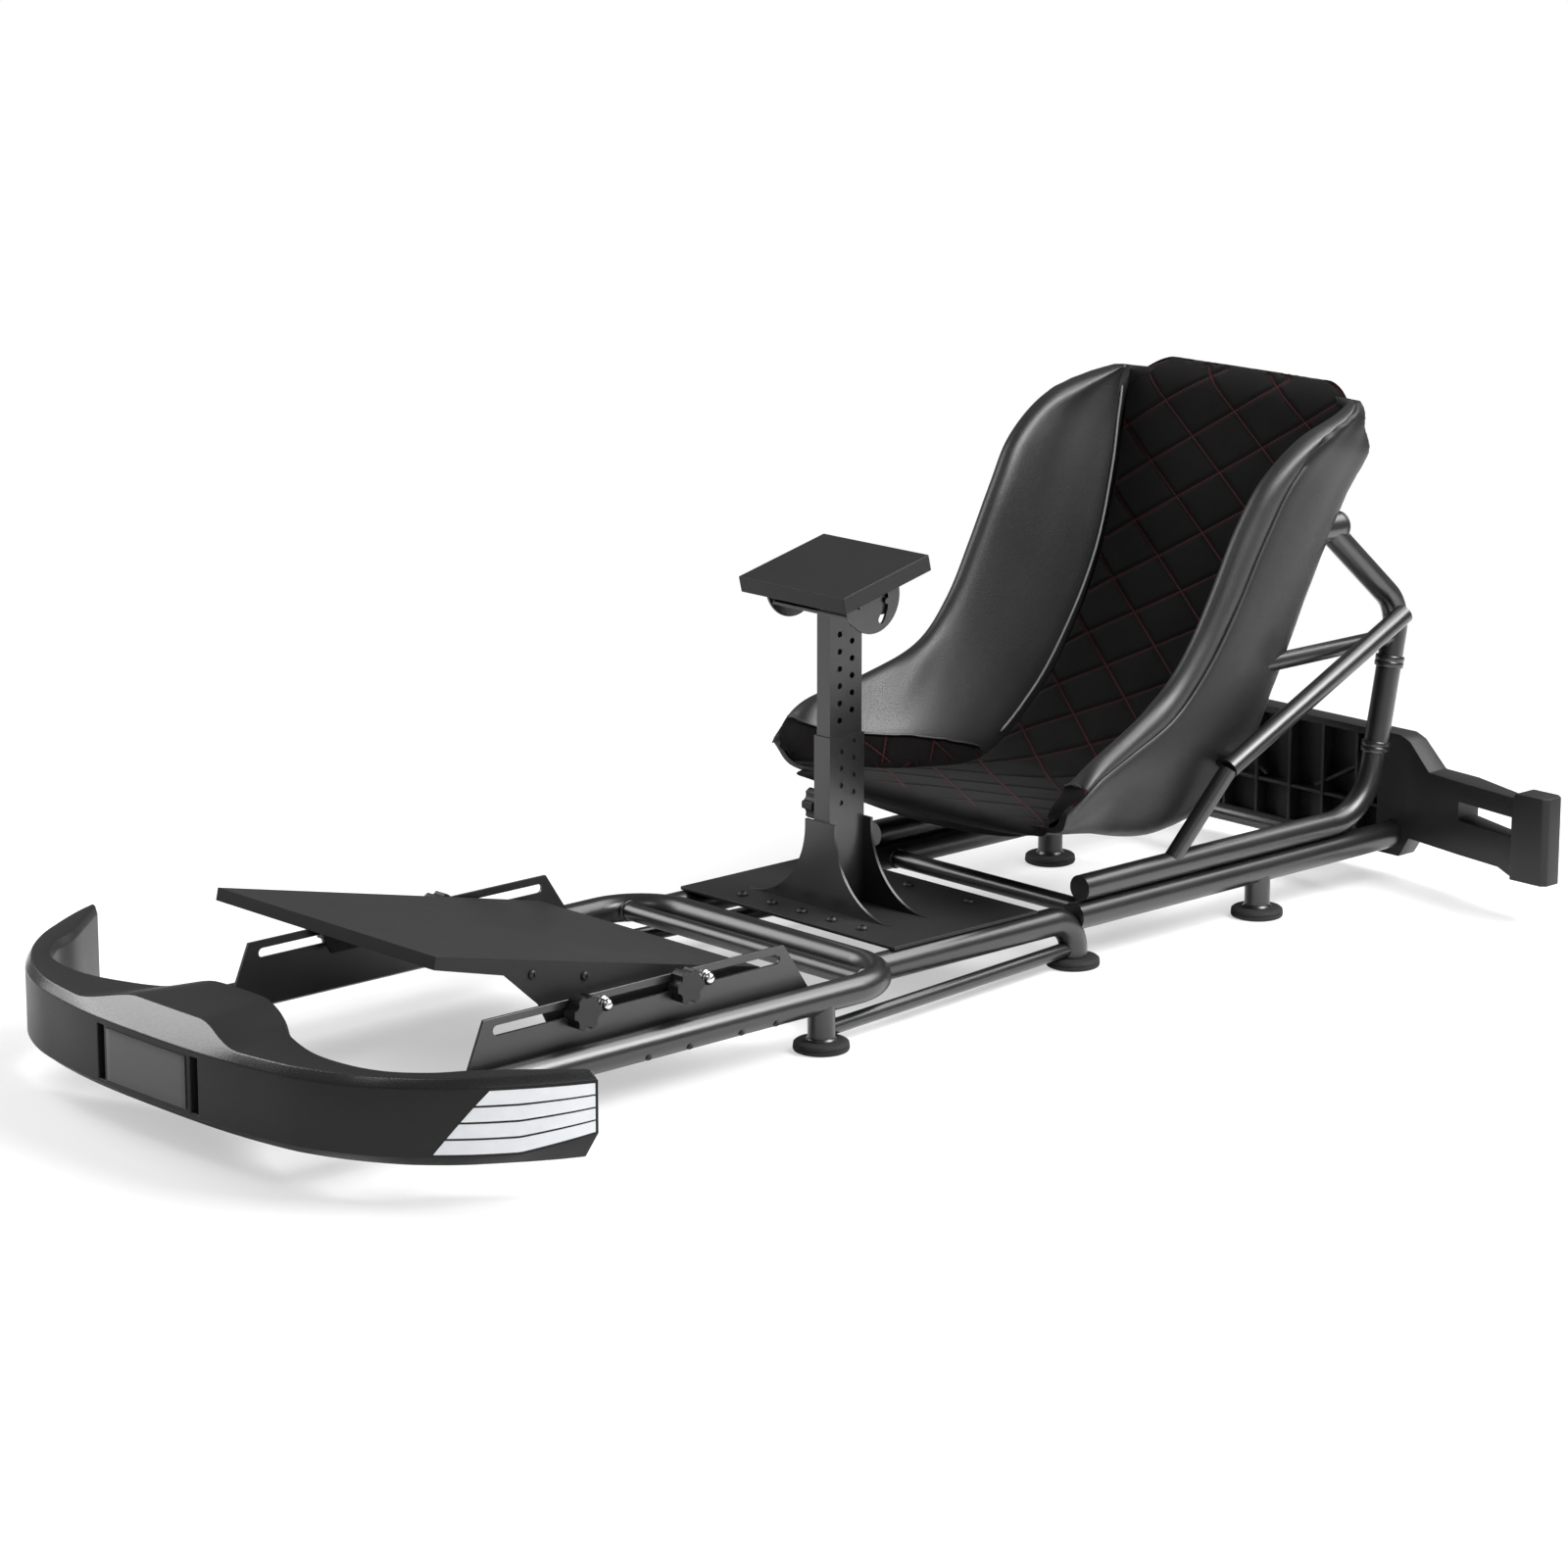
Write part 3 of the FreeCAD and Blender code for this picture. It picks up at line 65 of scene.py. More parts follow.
nodes = frame["nodes"]

bl_info = {
    "name": "Racing Cockpit",
    "version": (1, 0, 0),
    "blender": (4, 5, 0),
    "location": "3D View > Sidebar > Cockpit",
    "description": "Dresses the packed cockpit with upholstery, mouldings, fittings and finishes",
    "category": "Add Mesh",
}

# Sections of the bucket in millimetres, from the nose to the top of the back: panel y and z,
# rim y and z, half width of the panel, half width of the rim, thickness under the panel.
SEAT_STATIONS = [
    (232, 216, 224, 244, 240, 262, 38),
    (290, 214, 268, 282, 212, 270, 44),
    (400, 203, 378, 320, 172, 246, 46),
    (515, 203, 462, 356, 156, 230, 76),
    (620, 270, 518, 412, 158, 228, 122),
    (698, 352, 560, 480, 166, 230, 74),
    (772, 462, 606, 562, 178, 232, 36),
    (818, 568, 652, 624, 194, 238, 34),
    (846, 647, 730, 672, 208, 241, 42),
    (862, 695, 823, 699, 208, 234, 36),
    (876, 716, 860, 712, 190, 205, 26),
]

# Plan of the front bumper's left half in shares of its half width and sweep: outer x and y, inner x and y.
BUMPER_PLAN = [
    (0.0, 0.0, 0.0, 0.559),
    (0.125, 0.002, 0.09, 0.553),
    (0.242, 0.011, 0.177, 0.51),
    (0.397, 0.044, 0.294, 0.395),
    (0.528, 0.096, 0.437, 0.315),
    (0.645, 0.191, 0.552, 0.312),
    (0.75, 0.331, 0.647, 0.352),
    (0.839, 0.5, 0.728, 0.467),
    (0.911, 0.691, 0.79, 0.645),
    (0.968, 0.875, 0.873, 0.82),
    (1.0, 1.0, 0.947, 0.972),
]


def length_prop(name, description, default):
    return FloatProperty(name=name, description=description, default=default, unit="LENGTH", precision=4)


def colour_prop(name, description, default):
    return FloatVectorProperty(name=name, description=description, default=default, subtype="COLOR", size=3,
                               min=0.0, max=1.0)


class CockpitSizes(bpy.types.PropertyGroup):
    """Sizes of the dressed pieces that the frame doesn't set."""
    quilt_pitch: length_prop("Quilt Pitch", "Height of the quilted diamonds along the seat", 0.087)
    quilt_depth: length_prop("Quilt Depth", "Depth of the stitched channels", 0.0026)
    pad_swell: length_prop("Pad Swell", "How far the padding may swell", 0.008)
    piping: length_prop("Piping", "Radius of the piping along the seams", 0.0019)
    plate_edge: length_prop("Plate Edge", "Rounding of the plate edges", 0.0012)
    bumper_edge: length_prop("Bumper Edge", "Rounding of the bumper's edges", 0.004)


class CockpitColours(bpy.types.PropertyGroup):
    """Colours of the finishes."""
    paint: colour_prop("Paint", "Powder coat on the tubes and plates", (0.0075, 0.0075, 0.008))
    moulding: colour_prop("Moulding", "Moulded bumpers", (0.0105, 0.0105, 0.011))
    leather: colour_prop("Leather", "Leatherette on the shell and the bolsters", (0.0075, 0.0075, 0.008))
    suede: colour_prop("Suede", "Suede on the middle of the seat", (0.0042, 0.0036, 0.0036))
    thread: colour_prop("Thread", "Stitching on the suede", (0.036, 0.0045, 0.006))
    piping: colour_prop("Piping", "Piping beside the suede", (0.15, 0.15, 0.155))
    stripe: colour_prop("Stripe", "Stripes on the ends of the front bumper", (0.78, 0.8, 0.82))
    # The panel colour is a lighter grey as a painted highlight on the bumper's front face between the slots.
    panel: colour_prop("Panel", "Plain panel between the slots of the front bumper", (0.045, 0.045, 0.047))
    rubber: colour_prop("Rubber", "Feet", (0.012, 0.012, 0.012))
    steel: colour_prop("Steel", "Bolts and domed nuts", (0.62, 0.62, 0.63))
    floor: colour_prop("Floor", "Studio floor", (0.93, 0.93, 0.93))


class Value:
    """A socket in a node tree. Sums written on it add Math nodes."""

    def __init__(self, owner, socket):
        self.owner = owner
        self.socket = socket

    def sum(self, operation, *values):
        return self.owner.node("ShaderNodeMath", {"operation": operation}, dict(enumerate(values)))

    def __add__(self, other):
        return self.sum("ADD", self, other)

    def __sub__(self, other):
        return self.sum("SUBTRACT", self, other)

    def __rsub__(self, other):
        return self.sum("SUBTRACT", other, self)

    def __mul__(self, other):
        return self.sum("MULTIPLY", self, other)

    def __truediv__(self, other):
        return self.sum("DIVIDE", self, other)

    def __abs__(self):
        return self.sum("ABSOLUTE", self)

    def wrapped(self):
        """Distance to the nearest whole number."""
        return abs(self - self.sum("ROUND", self))

    def smooth(self, low, high):
        """0 below low, 1 above high, eased between; low may be the larger."""
        return self.owner.node("ShaderNodeMapRange", {"interpolation_type": "SMOOTHSTEP"},
                                {"Value": self, "From Min": low, "From Max": high})


class Tree:
    """A node tree, built up through Values."""

    def __init__(self, owner):
        owner.use_nodes = True
        self.tree = owner.node_tree

    def node(self, kind, settings=None, sockets=None, output=0):
        """Adds one node: its settings first, then the values or links of its sockets."""
        made = self.tree.nodes.new(kind)
        for name, value in (settings or {}).items():
            setattr(made, name, value)
        for key, value in (sockets or {}).items():
            self.feed(made.inputs[key], value)
        return Value(self, made.outputs[output])

    def feed(self, target, value):
        if isinstance(value, Value):
            self.tree.links.new(value.socket, target)
        else:
            target.default_value = value


class Finish(Tree):
    """A material round one Principled shader."""

    def __init__(self, name, fixed):
        self.material = bpy.data.materials.new(name)
        super().__init__(self.material)
        self.shader = self.tree.nodes["Principled BSDF"]
        for socket, value in fixed.items():
            self.drive(socket, value)

    def drive(self, socket, value):
        self.feed(self.shader.inputs[socket], value)

    def place(self):
        return self.node("ShaderNodeTexCoord", output="Object")

    def noise(self, scale, detail, roughness=0.5):
        return self.node("ShaderNodeTexNoise", None, {"Vector": self.place(), "Scale": scale,
                                                      "Detail": detail, "Roughness": roughness})

    def cells(self, scale, feature="DISTANCE_TO_EDGE"):
        sockets = {"Vector": self.place(), "Scale": scale}
        return self.node("ShaderNodeTexVoronoi", {"feature": feature}, sockets)

    def blend(self, factor, first, second):
        return self.node("ShaderNodeMix", {"data_type": "RGBA"}, {0: factor, 6: first, 7: second}, output=2)

    def bump(self, height, strength, distance):
        self.drive("Normal", self.node("ShaderNodeBump", None, {"Height": height, "Strength": strength,
                                                                "Distance": distance}))


def rgba(colour, share=1.0):
    return (colour[0] * share, colour[1] * share, colour[2] * share, 1.0)


FINISHES = {}


def clouded(name, colour, gloss, cloud, shades, rough, grain=None, pebbles=None, raised=None, metallic=0.0):
    """A finish whose colour and roughness drift with a cloud, under a fine grain of noise or pebbles.

    cloud and grain hold a scale and a detail, shades the darkest and the lightest share of the colour,
    rough the middle, the cloud's share and the grain's share, and raised the bump's strength and distance.
    """
    finish = Finish(name, {"Specular IOR Level": gloss, "Metallic": metallic})
    drift = finish.noise(*cloud)
    fine = finish.noise(*grain) if grain else finish.cells(pebbles, "F1") if pebbles else drift
    finish.drive("Base Color", finish.blend(drift, rgba(colour, shades[0]), rgba(colour, shades[1])))
    roughness = drift * rough[1] + rough[0]
    finish.drive("Roughness", roughness + fine * rough[2] if rough[2] else roughness)
    if raised:
        finish.bump(fine, *raised)
    return finish.material


def leather(colours, name, gloss):
    finish = Finish(name, {"Specular IOR Level": gloss})
    cloud = finish.noise(8.0, 3.0)
    finish.drive("Base Color", finish.blend(cloud, rgba(colours.leather, 0.8), rgba(colours.leather, 1.3)))
    creases = finish.cells(330.0).smooth(0.0, 0.16)
    pores = finish.noise(1400.0, 2.0)
    finish.drive("Roughness", 0.44 - creases * 0.1 + cloud * 0.1)
    finish.bump(creases + pores * 0.25, 0.16, 0.0006)
    return finish.material


def quilted_suede(colours, sizes):
    """Suede with a nap, painted shade in the channels, and dashed thread along the quilting lines."""
    finish = Finish("quilted_suede", {"Specular IOR Level": 0.08, "Sheen Weight": 0.04,
                                      "Sheen Roughness": 0.5})
    spread = finish.node("ShaderNodeUVMap", {"uv_map": "spread"})
    across = finish.node("ShaderNodeSeparateXYZ", None, {0: spread}, "X")
    along = finish.node("ShaderNodeSeparateXYZ", None, {0: spread}, "Y")
    pitch = sizes.quilt_pitch
    rising = (along + across / QUILT_SLOPE) / pitch
    falling = (along - across / QUILT_SLOPE) / pitch
    thread = 0.0
    channel_shade = 0.0
    scale = pitch * QUILT_SQUARE
    for line, other in ((rising, falling), (falling, rising)):
        away = line.wrapped() * scale
        dash = (other * 14.0).wrapped().smooth(0.44, 0.36)
        thread = away.smooth(0.0015, 0.0009) * dash + thread
        # Painted shade: a mask of the pressed-in channels, where the colour is darkened.
        channel_shade = away.smooth(0.011, 0.001) + channel_shade
    thread = thread.sum("MINIMUM", thread, 1.0) * along.smooth(0.012, 0.045)
    nap = finish.noise(1100.0, 3.0)
    brushed = finish.noise(22.0, 4.0, roughness=0.65)
    # The brushed and nap tones are the suede's own; the channel term darkens the colour as painted shade in
    # the channels.
    shade = brushed * 0.6 + nap * 0.4 - channel_shade * 0.35
    suede = finish.blend(shade, rgba(colours.suede, 0.45), rgba(colours.suede, 1.9))
    finish.drive("Base Color", finish.blend(thread, suede, rgba(colours.thread)))
    finish.drive("Roughness", 0.95 - thread * 0.4)
    finish.bump(nap * 0.5 + thread * 1.2, 0.35, 0.0009)
    return finish.material


def make_finishes(scene):
    colours = scene.cockpit_colours
    made = [
        clouded("powder_coat", colours.paint, 0.66, (9.0, 3.0), (0.8, 1.3), (0.23, 0.1, 0.05),
                grain=(620.0, 2.0), raised=(0.09, 0.0006)),
        clouded("sheet_coat", colours.paint, 0.28, (7.0, 4.0), (1.0, 1.6), (0.46, 0.12, 0.08),
                grain=(520.0, 3.0), raised=(0.16, 0.0007)),
        clouded("moulded_plastic", colours.moulding, 0.24, (5.0, 3.0), (0.85, 1.25), (0.34, 0.1, 0.08),
                pebbles=540.0, raised=(0.12, 0.0005)),
        clouded("moulded_ridge", colours.moulding, 0.55, (5.0, 3.0), (0.85, 1.25), (0.2, 0.1, 0.08),
                pebbles=540.0, raised=(0.12, 0.0005)),
        clouded("dark_plastic", colours.moulding, 0.4, (30.0, 2.0), (0.6, 0.9), (0.42, 0.15, 0.0),
                grain=(800.0, 2.0), raised=(0.12, 0.0004)),
        clouded("rubber", colours.rubber, 0.3, (420.0, 3.0), (0.8, 1.5), (0.66, 0.2, 0.0),
                raised=(0.2, 0.0006)),
        clouded("bright_steel", colours.steel, 0.5, (260.0, 3.0), (0.9, 1.1), (0.14, 0.1, 0.0), metallic=1.0),
        clouded("stripe_film", colours.stripe, 0.5, (60.0, 3.0), (0.94, 1.06), (0.34, 0.1, 0.0),
                grain=(900.0, 1.0), raised=(0.05, 0.0003)),
        # Painted highlight: a lighter grey for the front face between the bumper's slots.
        clouded("panel_painted_highlight", colours.panel, 0.5, (90.0, 3.0), (0.85, 1.15), (0.3, 0.12, 0.0)),
        clouded("piping_cord", colours.piping, 0.5, (700.0, 2.0), (0.8, 1.15), (0.4, 0.2, 0.0),
                raised=(0.15, 0.0005)),
        leather(colours, "leather", 0.5),
        leather(colours, "shell_skin", 0.2),
        quilted_suede(colours, scene.cockpit_sizes),
    ]
    for material in made:
        FINISHES[material.name] = material


def fresh():
    """Object mode with nothing selected."""
    if bpy.context.mode != "OBJECT":
        bpy.ops.object.mode_set(mode="OBJECT")
    bpy.ops.object.select_all(action="DESELECT")


def only(piece):
    """Select one piece and make it the active one."""
    fresh()
    piece.select_set(True)
    bpy.context.view_layer.objects.active = piece


def freeze():
    """Put the active piece's place, turn and scale into its mesh."""
    bpy.ops.object.transform_apply(location=True, rotation=True, scale=True)


@contextmanager
def edited(piece):
    """Edit mode on one piece, with all of its mesh selected."""
    only(piece)
    bpy.ops.object.mode_set(mode="EDIT")
    bpy.ops.mesh.select_all(action="SELECT")
    yield
    bpy.ops.object.mode_set(mode="OBJECT")


def clamp(value):
    return min(1.0, max(0.0, value))


def eased(share):
    """Smooth step from 0 to 1."""
    share = clamp(share)
    return share * share * (3.0 - 2.0 * share)


def rounded(share):
    """Height of a quarter circle of radius 1 at a share of its width."""
    return math.sqrt(1.0 - (1.0 - clamp(share)) ** 2)


def middle_of(node):
    """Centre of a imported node's box."""
    low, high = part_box(node)
    return (low + high) / 2.0


def clean_up(piece, merge=1e-5, fill=True, split=False):
    """Merge doubles, close holes, split the closing faces if asked, and turn the faces outwards."""
    with edited(piece):
        bpy.ops.mesh.remove_doubles(threshold=merge)
        if fill:
            bpy.ops.mesh.select_all(action="SELECT")
            bpy.ops.mesh.fill_holes(sides=0)
        if split:
            bpy.ops.mesh.select_mode(type="FACE")
            bpy.ops.mesh.select_all(action="DESELECT")
            bpy.ops.mesh.select_face_by_sides(number=4, type="GREATER")
            bpy.ops.mesh.quads_convert_to_tris(quad_method="BEAUTY", ngon_method="BEAUTY")
        bpy.ops.mesh.select_all(action="SELECT")
        bpy.ops.mesh.normals_make_consistent(inside=False)


def apply_modifier(piece, kind, **settings):
    """Add one modifier, set it and apply it."""
    only(piece)
    made = piece.modifiers.new(kind.lower(), kind)
    for name, value in settings.items():
        setattr(made, name, value)
    bpy.ops.object.modifier_apply(modifier=made.name)


def round_edges(piece, width, segments=2, angle=35.0):
    apply_modifier(piece, "BEVEL", width=width, segments=segments, limit_method="ANGLE",
                   angle_limit=math.radians(angle), harden_normals=False)


def shade(piece, angle):
    only(piece)
    bpy.ops.object.shade_smooth_by_angle(angle=math.radians(angle))


def wear(piece, *finishes):
    piece.data.materials.clear()
    for finish in finishes:
        piece.data.materials.append(FINISHES[finish])


def settle(piece, body, slot, *replaced):
    """Freeze the piece, tie it to its body, and hide the nodes that it stands for; the slot is not used."""
    only(piece)
    freeze()
    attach(piece, body)
    if replaced:
        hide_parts(*replaced)


def dress(piece, angle, finish, body, slot, *replaced):
    """Shade a piece, give it its finish, and settle it."""
    shade(piece, angle)
    wear(piece, finish)
    settle(piece, body, slot, *replaced)


def grid_piece(name, columns, rows, place):
    """A grid primitive laid over a surface; place(u, v) gives each point, and the grid's UVs stay."""
    fresh()
    bpy.ops.mesh.primitive_grid_add(x_subdivisions=columns, y_subdivisions=rows, size=1.0)
    piece = bpy.context.object
    piece.name = name
    for vertex in piece.data.vertices:
        vertex.co = place(vertex.co.x + 0.5, vertex.co.y + 0.5)
    return piece


def block(size, spot, lean=0.0):
    """A box at a spot, leaning about y."""
    fresh()
    bpy.ops.mesh.primitive_cube_add(size=1.0, location=spot, rotation=(0, lean, 0))
    piece = bpy.context.object
    piece.scale = size
    freeze()
    return piece


class Track:
    """A smooth line through points or rows of numbers, by the share of its length."""

    def __init__(self, points, closed=False):
        points = [np.array(point, float) for point in points]
        if closed:
            points = points[-2:] + points + points[:3]
        self.points = np.array(points)
        steps = np.maximum(np.linalg.norm(np.diff(self.points, axis=0), axis=1), 1e-9)
        self.knots = np.concatenate([[0.0], np.cumsum(steps)])
        slopes = np.diff(self.points, axis=0) / steps[:, None]
        before, after = steps[:-1, None], steps[1:, None]
        inner = (slopes[:-1] * after + slopes[1:] * before) / (before + after)
        self.slopes = np.vstack([slopes[:1], inner, slopes[-1:]])
        self.start = self.knots[2] if closed else self.knots[0]
        self.stop = self.knots[-3] if closed else self.knots[-1]

    def at(self, share):
        place = self.start + (self.stop - self.start) * clamp(share)
        index = min(max(int(np.searchsorted(self.knots, place)) - 1, 0), len(self.knots) - 2)
        width = self.knots[index + 1] - self.knots[index]
        t = (place - self.knots[index]) / width
        first, second = self.points[index], self.points[index + 1]
        return ((2 * t ** 3 - 3 * t * t + 1) * first + (t ** 3 - 2 * t * t + t) * width * self.slopes[index]
                + (3 * t * t - 2 * t ** 3) * second + (t ** 3 - t * t) * width * self.slopes[index + 1])


def tube_piece(name, points, radius, rows):
    """A round cord along a smooth line."""
    line = Track(points)
    rings = []
    side = None
    for row in range(rows + 1):
        share = row / rows
        centre = Vector(line.at(share))
        ahead = Vector(line.at(min(1.0, share + 0.004))) - Vector(line.at(max(0.0, share - 0.004)))
        ahead.normalize()
        if side is None:
            side = ahead.orthogonal()
        side = (side - ahead * side.dot(ahead)).normalized()
        rings.append((centre, side.copy(), ahead.cross(side)))

    def place(u, v):
        centre, first, second = rings[round(v * rows)]
        turn = 2.0 * math.pi * u
        end = min(1.0, 0.35 + 0.65 * min(v, 1.0 - v) * rows / 2.0)
        return centre + (first * math.cos(turn) + second * math.sin(turn)) * radius * end
    cord = grid_piece(name, CORD_SIDES, rows, place)
    clean_up(cord)
    shade(cord, 60.0)
    return cord


def lathe(name, profile, spot, axis, steps):
    """A profile of radius and height in millimetres, spun round an axis at a spot."""
    rows = len(profile) - 1

    def place(u, v):
        radius, height = profile[round(v * rows)]
        turn = 2.0 * math.pi * u
        return Vector((radius * math.cos(turn), radius * math.sin(turn), height)) / 1000.0
    piece = grid_piece(name, steps, rows, place)
    clean_up(piece, merge=2e-5)
    turn = Vector((0, 0, 1)).rotation_difference(Vector(axis))
    piece.data.transform(Matrix.Translation(Vector(spot)) @ turn.to_matrix().to_4x4())
    piece.data.update()
    shade(piece, 40.0)
    return piece


def other_side(piece):
    """A mirrored copy, with its own mesh, for the other side of the cockpit."""
    only(piece)
    bpy.ops.object.duplicate()
    other = bpy.context.object
    other.name = piece.name.replace("left", "right")
    other.data.transform(Matrix.Scale(-1.0, 4, (1, 0, 0)))
    other.data.flip_normals()
    other.data.update()
    return other


def settle_pair(piece, body, slot, finish):
    """Finish a left piece, mirror it, and tie both to their body; the slot is not used."""
    wear(piece, finish)
    other = other_side(piece)
    settle(piece, body, slot)
    settle(other, body, slot)


def merged_copy(node, name):
    """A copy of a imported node's mesh with its triangles joined into faces."""
    fresh()
    piece = bpy.data.objects.new(name, nodes[node].data.copy())
    bpy.context.scene.collection.objects.link(piece)
    with edited(piece):
        bpy.ops.mesh.customdata_custom_splitnormals_clear()
        bpy.ops.mesh.select_all(action="SELECT")
        bpy.ops.mesh.remove_doubles(threshold=2e-6)
        bpy.ops.mesh.dissolve_limited(angle_limit=math.radians(0.5))
    return piece


def softened(node, name, width, finish, slot, segments=2):
    """A plate or block as packed, with its sharp edges rounded."""
    piece = merged_copy(node, name)
    round_edges(piece, width, segments)
    shade(piece, 32.0)
    apply_modifier(piece, "WEIGHTED_NORMAL", keep_sharp=True, weight=100)
    wear(piece, finish)
    settle(piece, nodes[node]["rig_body"], slot, node)


Station = namedtuple("Station", "panel upward height half rim_half thick")


class SeatLine:
    """The bucket's changing section along the seat, in metres."""

    def __init__(self):
        self.line = Track(np.array(SEAT_STATIONS, float) / 1000.0)
        middle = [self.line.at(step / 200.0)[:2] for step in range(201)]
        self.along = np.concatenate([[0.0], np.cumsum(np.linalg.norm(np.diff(middle, axis=0), axis=1))])
        self.length = self.along[-1]

    def station(self, along):
        """Panel point, direction to the rim, height, panel half, rim half and thickness at a length."""
        row = self.line.at(np.interp(along, self.along, np.arange(201) / 200.0))
        panel = Vector((0, row[0], row[1]))
        upward = Vector((0, row[2] - row[0], row[3] - row[1]))
        height = upward.length
        return Station(panel, upward / height, height, row[4], row[5], row[6])

    def spot(self, along, x, s):
        """Point at a place across the seat and a height over its panel."""
        at = self.station(along)
        return at.panel + at.upward * s + Vector((x, 0, 0))

    def over(self, along, point):
        """Height of a point over the panel."""
        at = self.station(along)
        return (point - at.panel).dot(at.upward)


SEAT = SeatLine()
SEAT_WALL = 0.012
# The part of the pad's section that is its face; the rest goes round the back.
PAD_FACE = 0.72
# The part of that way round which each side takes, and the height of the face's edge.
PAD_SIDE = 0.15
PAD_EDGE = -0.009
# Slope of the quilting lines, and the share of the pitch that lies square to them.
QUILT_SLOPE = 1.5
QUILT_SQUARE = 0.83
CORD_SIDES = 10


def nose_round(height):
    """1 at the low nose, where the lower corners are rounded off, and 0 behind it."""
    return clamp((0.125 - height) / 0.085)


def nose_drop(along):
    """The rim falls towards the nose."""
    return 1.0 - 0.3 * max(0.0, 1.0 - along / 0.085) ** 1.5


def top_round(along):
    """Share of the side section that is left towards the rounded top of the seat."""
    return rounded((0.986 - along / SEAT.length) / 0.06)


def side_middle(along, side=1.0):
    """Point inside the bolster that its rounded ends close on."""
    height, half, rim_half, thick = SEAT.station(along)[2:]
    return SEAT.spot(along, side * (half + 0.4 * (rim_half - half)), 0.3 * height - 0.15 * thick)


def trim_height(along):
    """Height over the panel of the edge between the suede nose and the smooth bolster."""
    return float(np.interp(along, [0.047, 0.055, 0.075, 0.12, 0.18, 0.235, 0.272, 0.29, 0.2901],
                           [0.2, 0.052, 0.042, 0.038, 0.035, 0.028, 0.014, 0.0, -1.0]))


def bolster_outline(height, panel_half, rim_half, thick):
    """Half section of the side padding, from the seam up, over the shell's edge and back down inside it."""
    reach = rim_half - 0.022 - panel_half
    spread = rim_half - panel_half
    nose = nose_round(height)
    return [(panel_half + 0.003, -0.002), (panel_half + 0.16 * reach, 0.17 * height),
            (panel_half + 0.52 * reach, 0.5 * height), (rim_half - 0.024, 0.84 * height),
            (rim_half - 0.010, 0.975 * height), (rim_half + 0.006, 0.975 * height),
            (rim_half + 0.0178, 0.90 * height), (rim_half + 0.0192, 0.80 * height),
            (rim_half + 0.011, 0.70 * height), (rim_half - 0.003, 0.55 * height),
            (panel_half + 0.55 * spread - 0.003, 0.18 * height - 0.25 * thick + 0.009),
            (panel_half + 0.12 * spread + 0.001 - 0.02 * nose,
             -0.72 * thick * (1.0 - 0.5 * nose) + 0.0125 * (1.0 - 0.4 * nose)),
            (panel_half + 0.003, -0.42 * thick * (1.0 - 0.4 * nose))]


def shell_outline(height, panel_half, rim_half, thick):
    """Closed section of the bucket's skin."""
    spread = rim_half - panel_half
    nose = nose_round(height)
    outside = [(rim_half + 0.0150, 0.81 * height), (rim_half + 0.0162, 0.74 * height),
               (rim_half + 0.012, 0.55 * height),
               (panel_half + 0.55 * spread + 0.014, 0.18 * height - 0.25 * thick),
               (panel_half + 0.12 * spread + 0.014 - 0.028 * nose, -0.72 * thick * (1.0 - 0.5 * nose)),
               (panel_half - 0.03 - 0.05 * nose, -thick * (1.0 - 0.12 * nose)), (0.5 * panel_half, -thick)]
    # The inside lies off the outside by these shares of the wall, inwards and upwards.
    shifts = ((0.8, 0.0), (1.0, 0.0), (1.0, 0.0), (0.9, 0.45), (0.75, 0.7), (0.0, 1.0), (0.0, 1.0))
    inside = [(x - a * SEAT_WALL, s + b * SEAT_WALL) for (x, s), (a, b) in zip(outside, shifts)]
    left = list(reversed(inside)) + [(rim_half + 0.0095, 0.81 * height + 0.004)] + outside
    right = [(-x, s) for x, s in reversed(left)]
    return left + right


def lofted(outline_of, share):
    """A place function for a closed section that changes along the seat."""
    tracks = {}

    def place(u, v):
        along = share(v) * SEAT.length
        if v not in tracks:
            tracks[v] = Track(outline_of(*SEAT.station(along)[2:]), closed=True)
        x, s = tracks[v].at(u)
        if s > 0.0:
            s *= nose_drop(along)
        return SEAT.spot(along, x, s)
    return place


def face_spot(along, tall):
    """Point of the bolster's inner face at a height over the panel."""
    line = Track(bolster_outline(*SEAT.station(along)[2:]), closed=True)
    for step in range(161):
        x, s = line.at(0.42 * step / 160.0)
        s *= nose_drop(along)
        if s >= tall:
            break
    return SEAT.spot(along, x, s)


def keep_spread(piece, spread_of):
    """A UV map in metres over the seat, from the grid's own: across the panel, and along it from the nose."""
    shares = [tuple(item.uv) for item in piece.data.uv_layers[0].data]
    layer = piece.data.uv_layers.new(name="spread")
    for item, (u, v) in zip(layer.data, shares):
        item.uv = spread_of(u, v)


def vertex_uvs(piece, layer):
    """Each vertex's place in one of the piece's UV maps."""
    found = {}
    uvs = piece.data.uv_layers[layer].data
    for loop in piece.data.loops:
        found.setdefault(loop.vertex_index, tuple(uvs[loop.index].uv))
    return [found[index] for index in range(len(piece.data.vertices))]


CLOTH = {"quality": 4, "mass": 0.2, "tension_stiffness": 12, "compression_stiffness": 12,
         "bending_stiffness": 0.8, "use_pressure": True, "uniform_pressure_force": 4.0,
         "vertex_group_mass": "held"}
CLOTH_FRAMES = 20


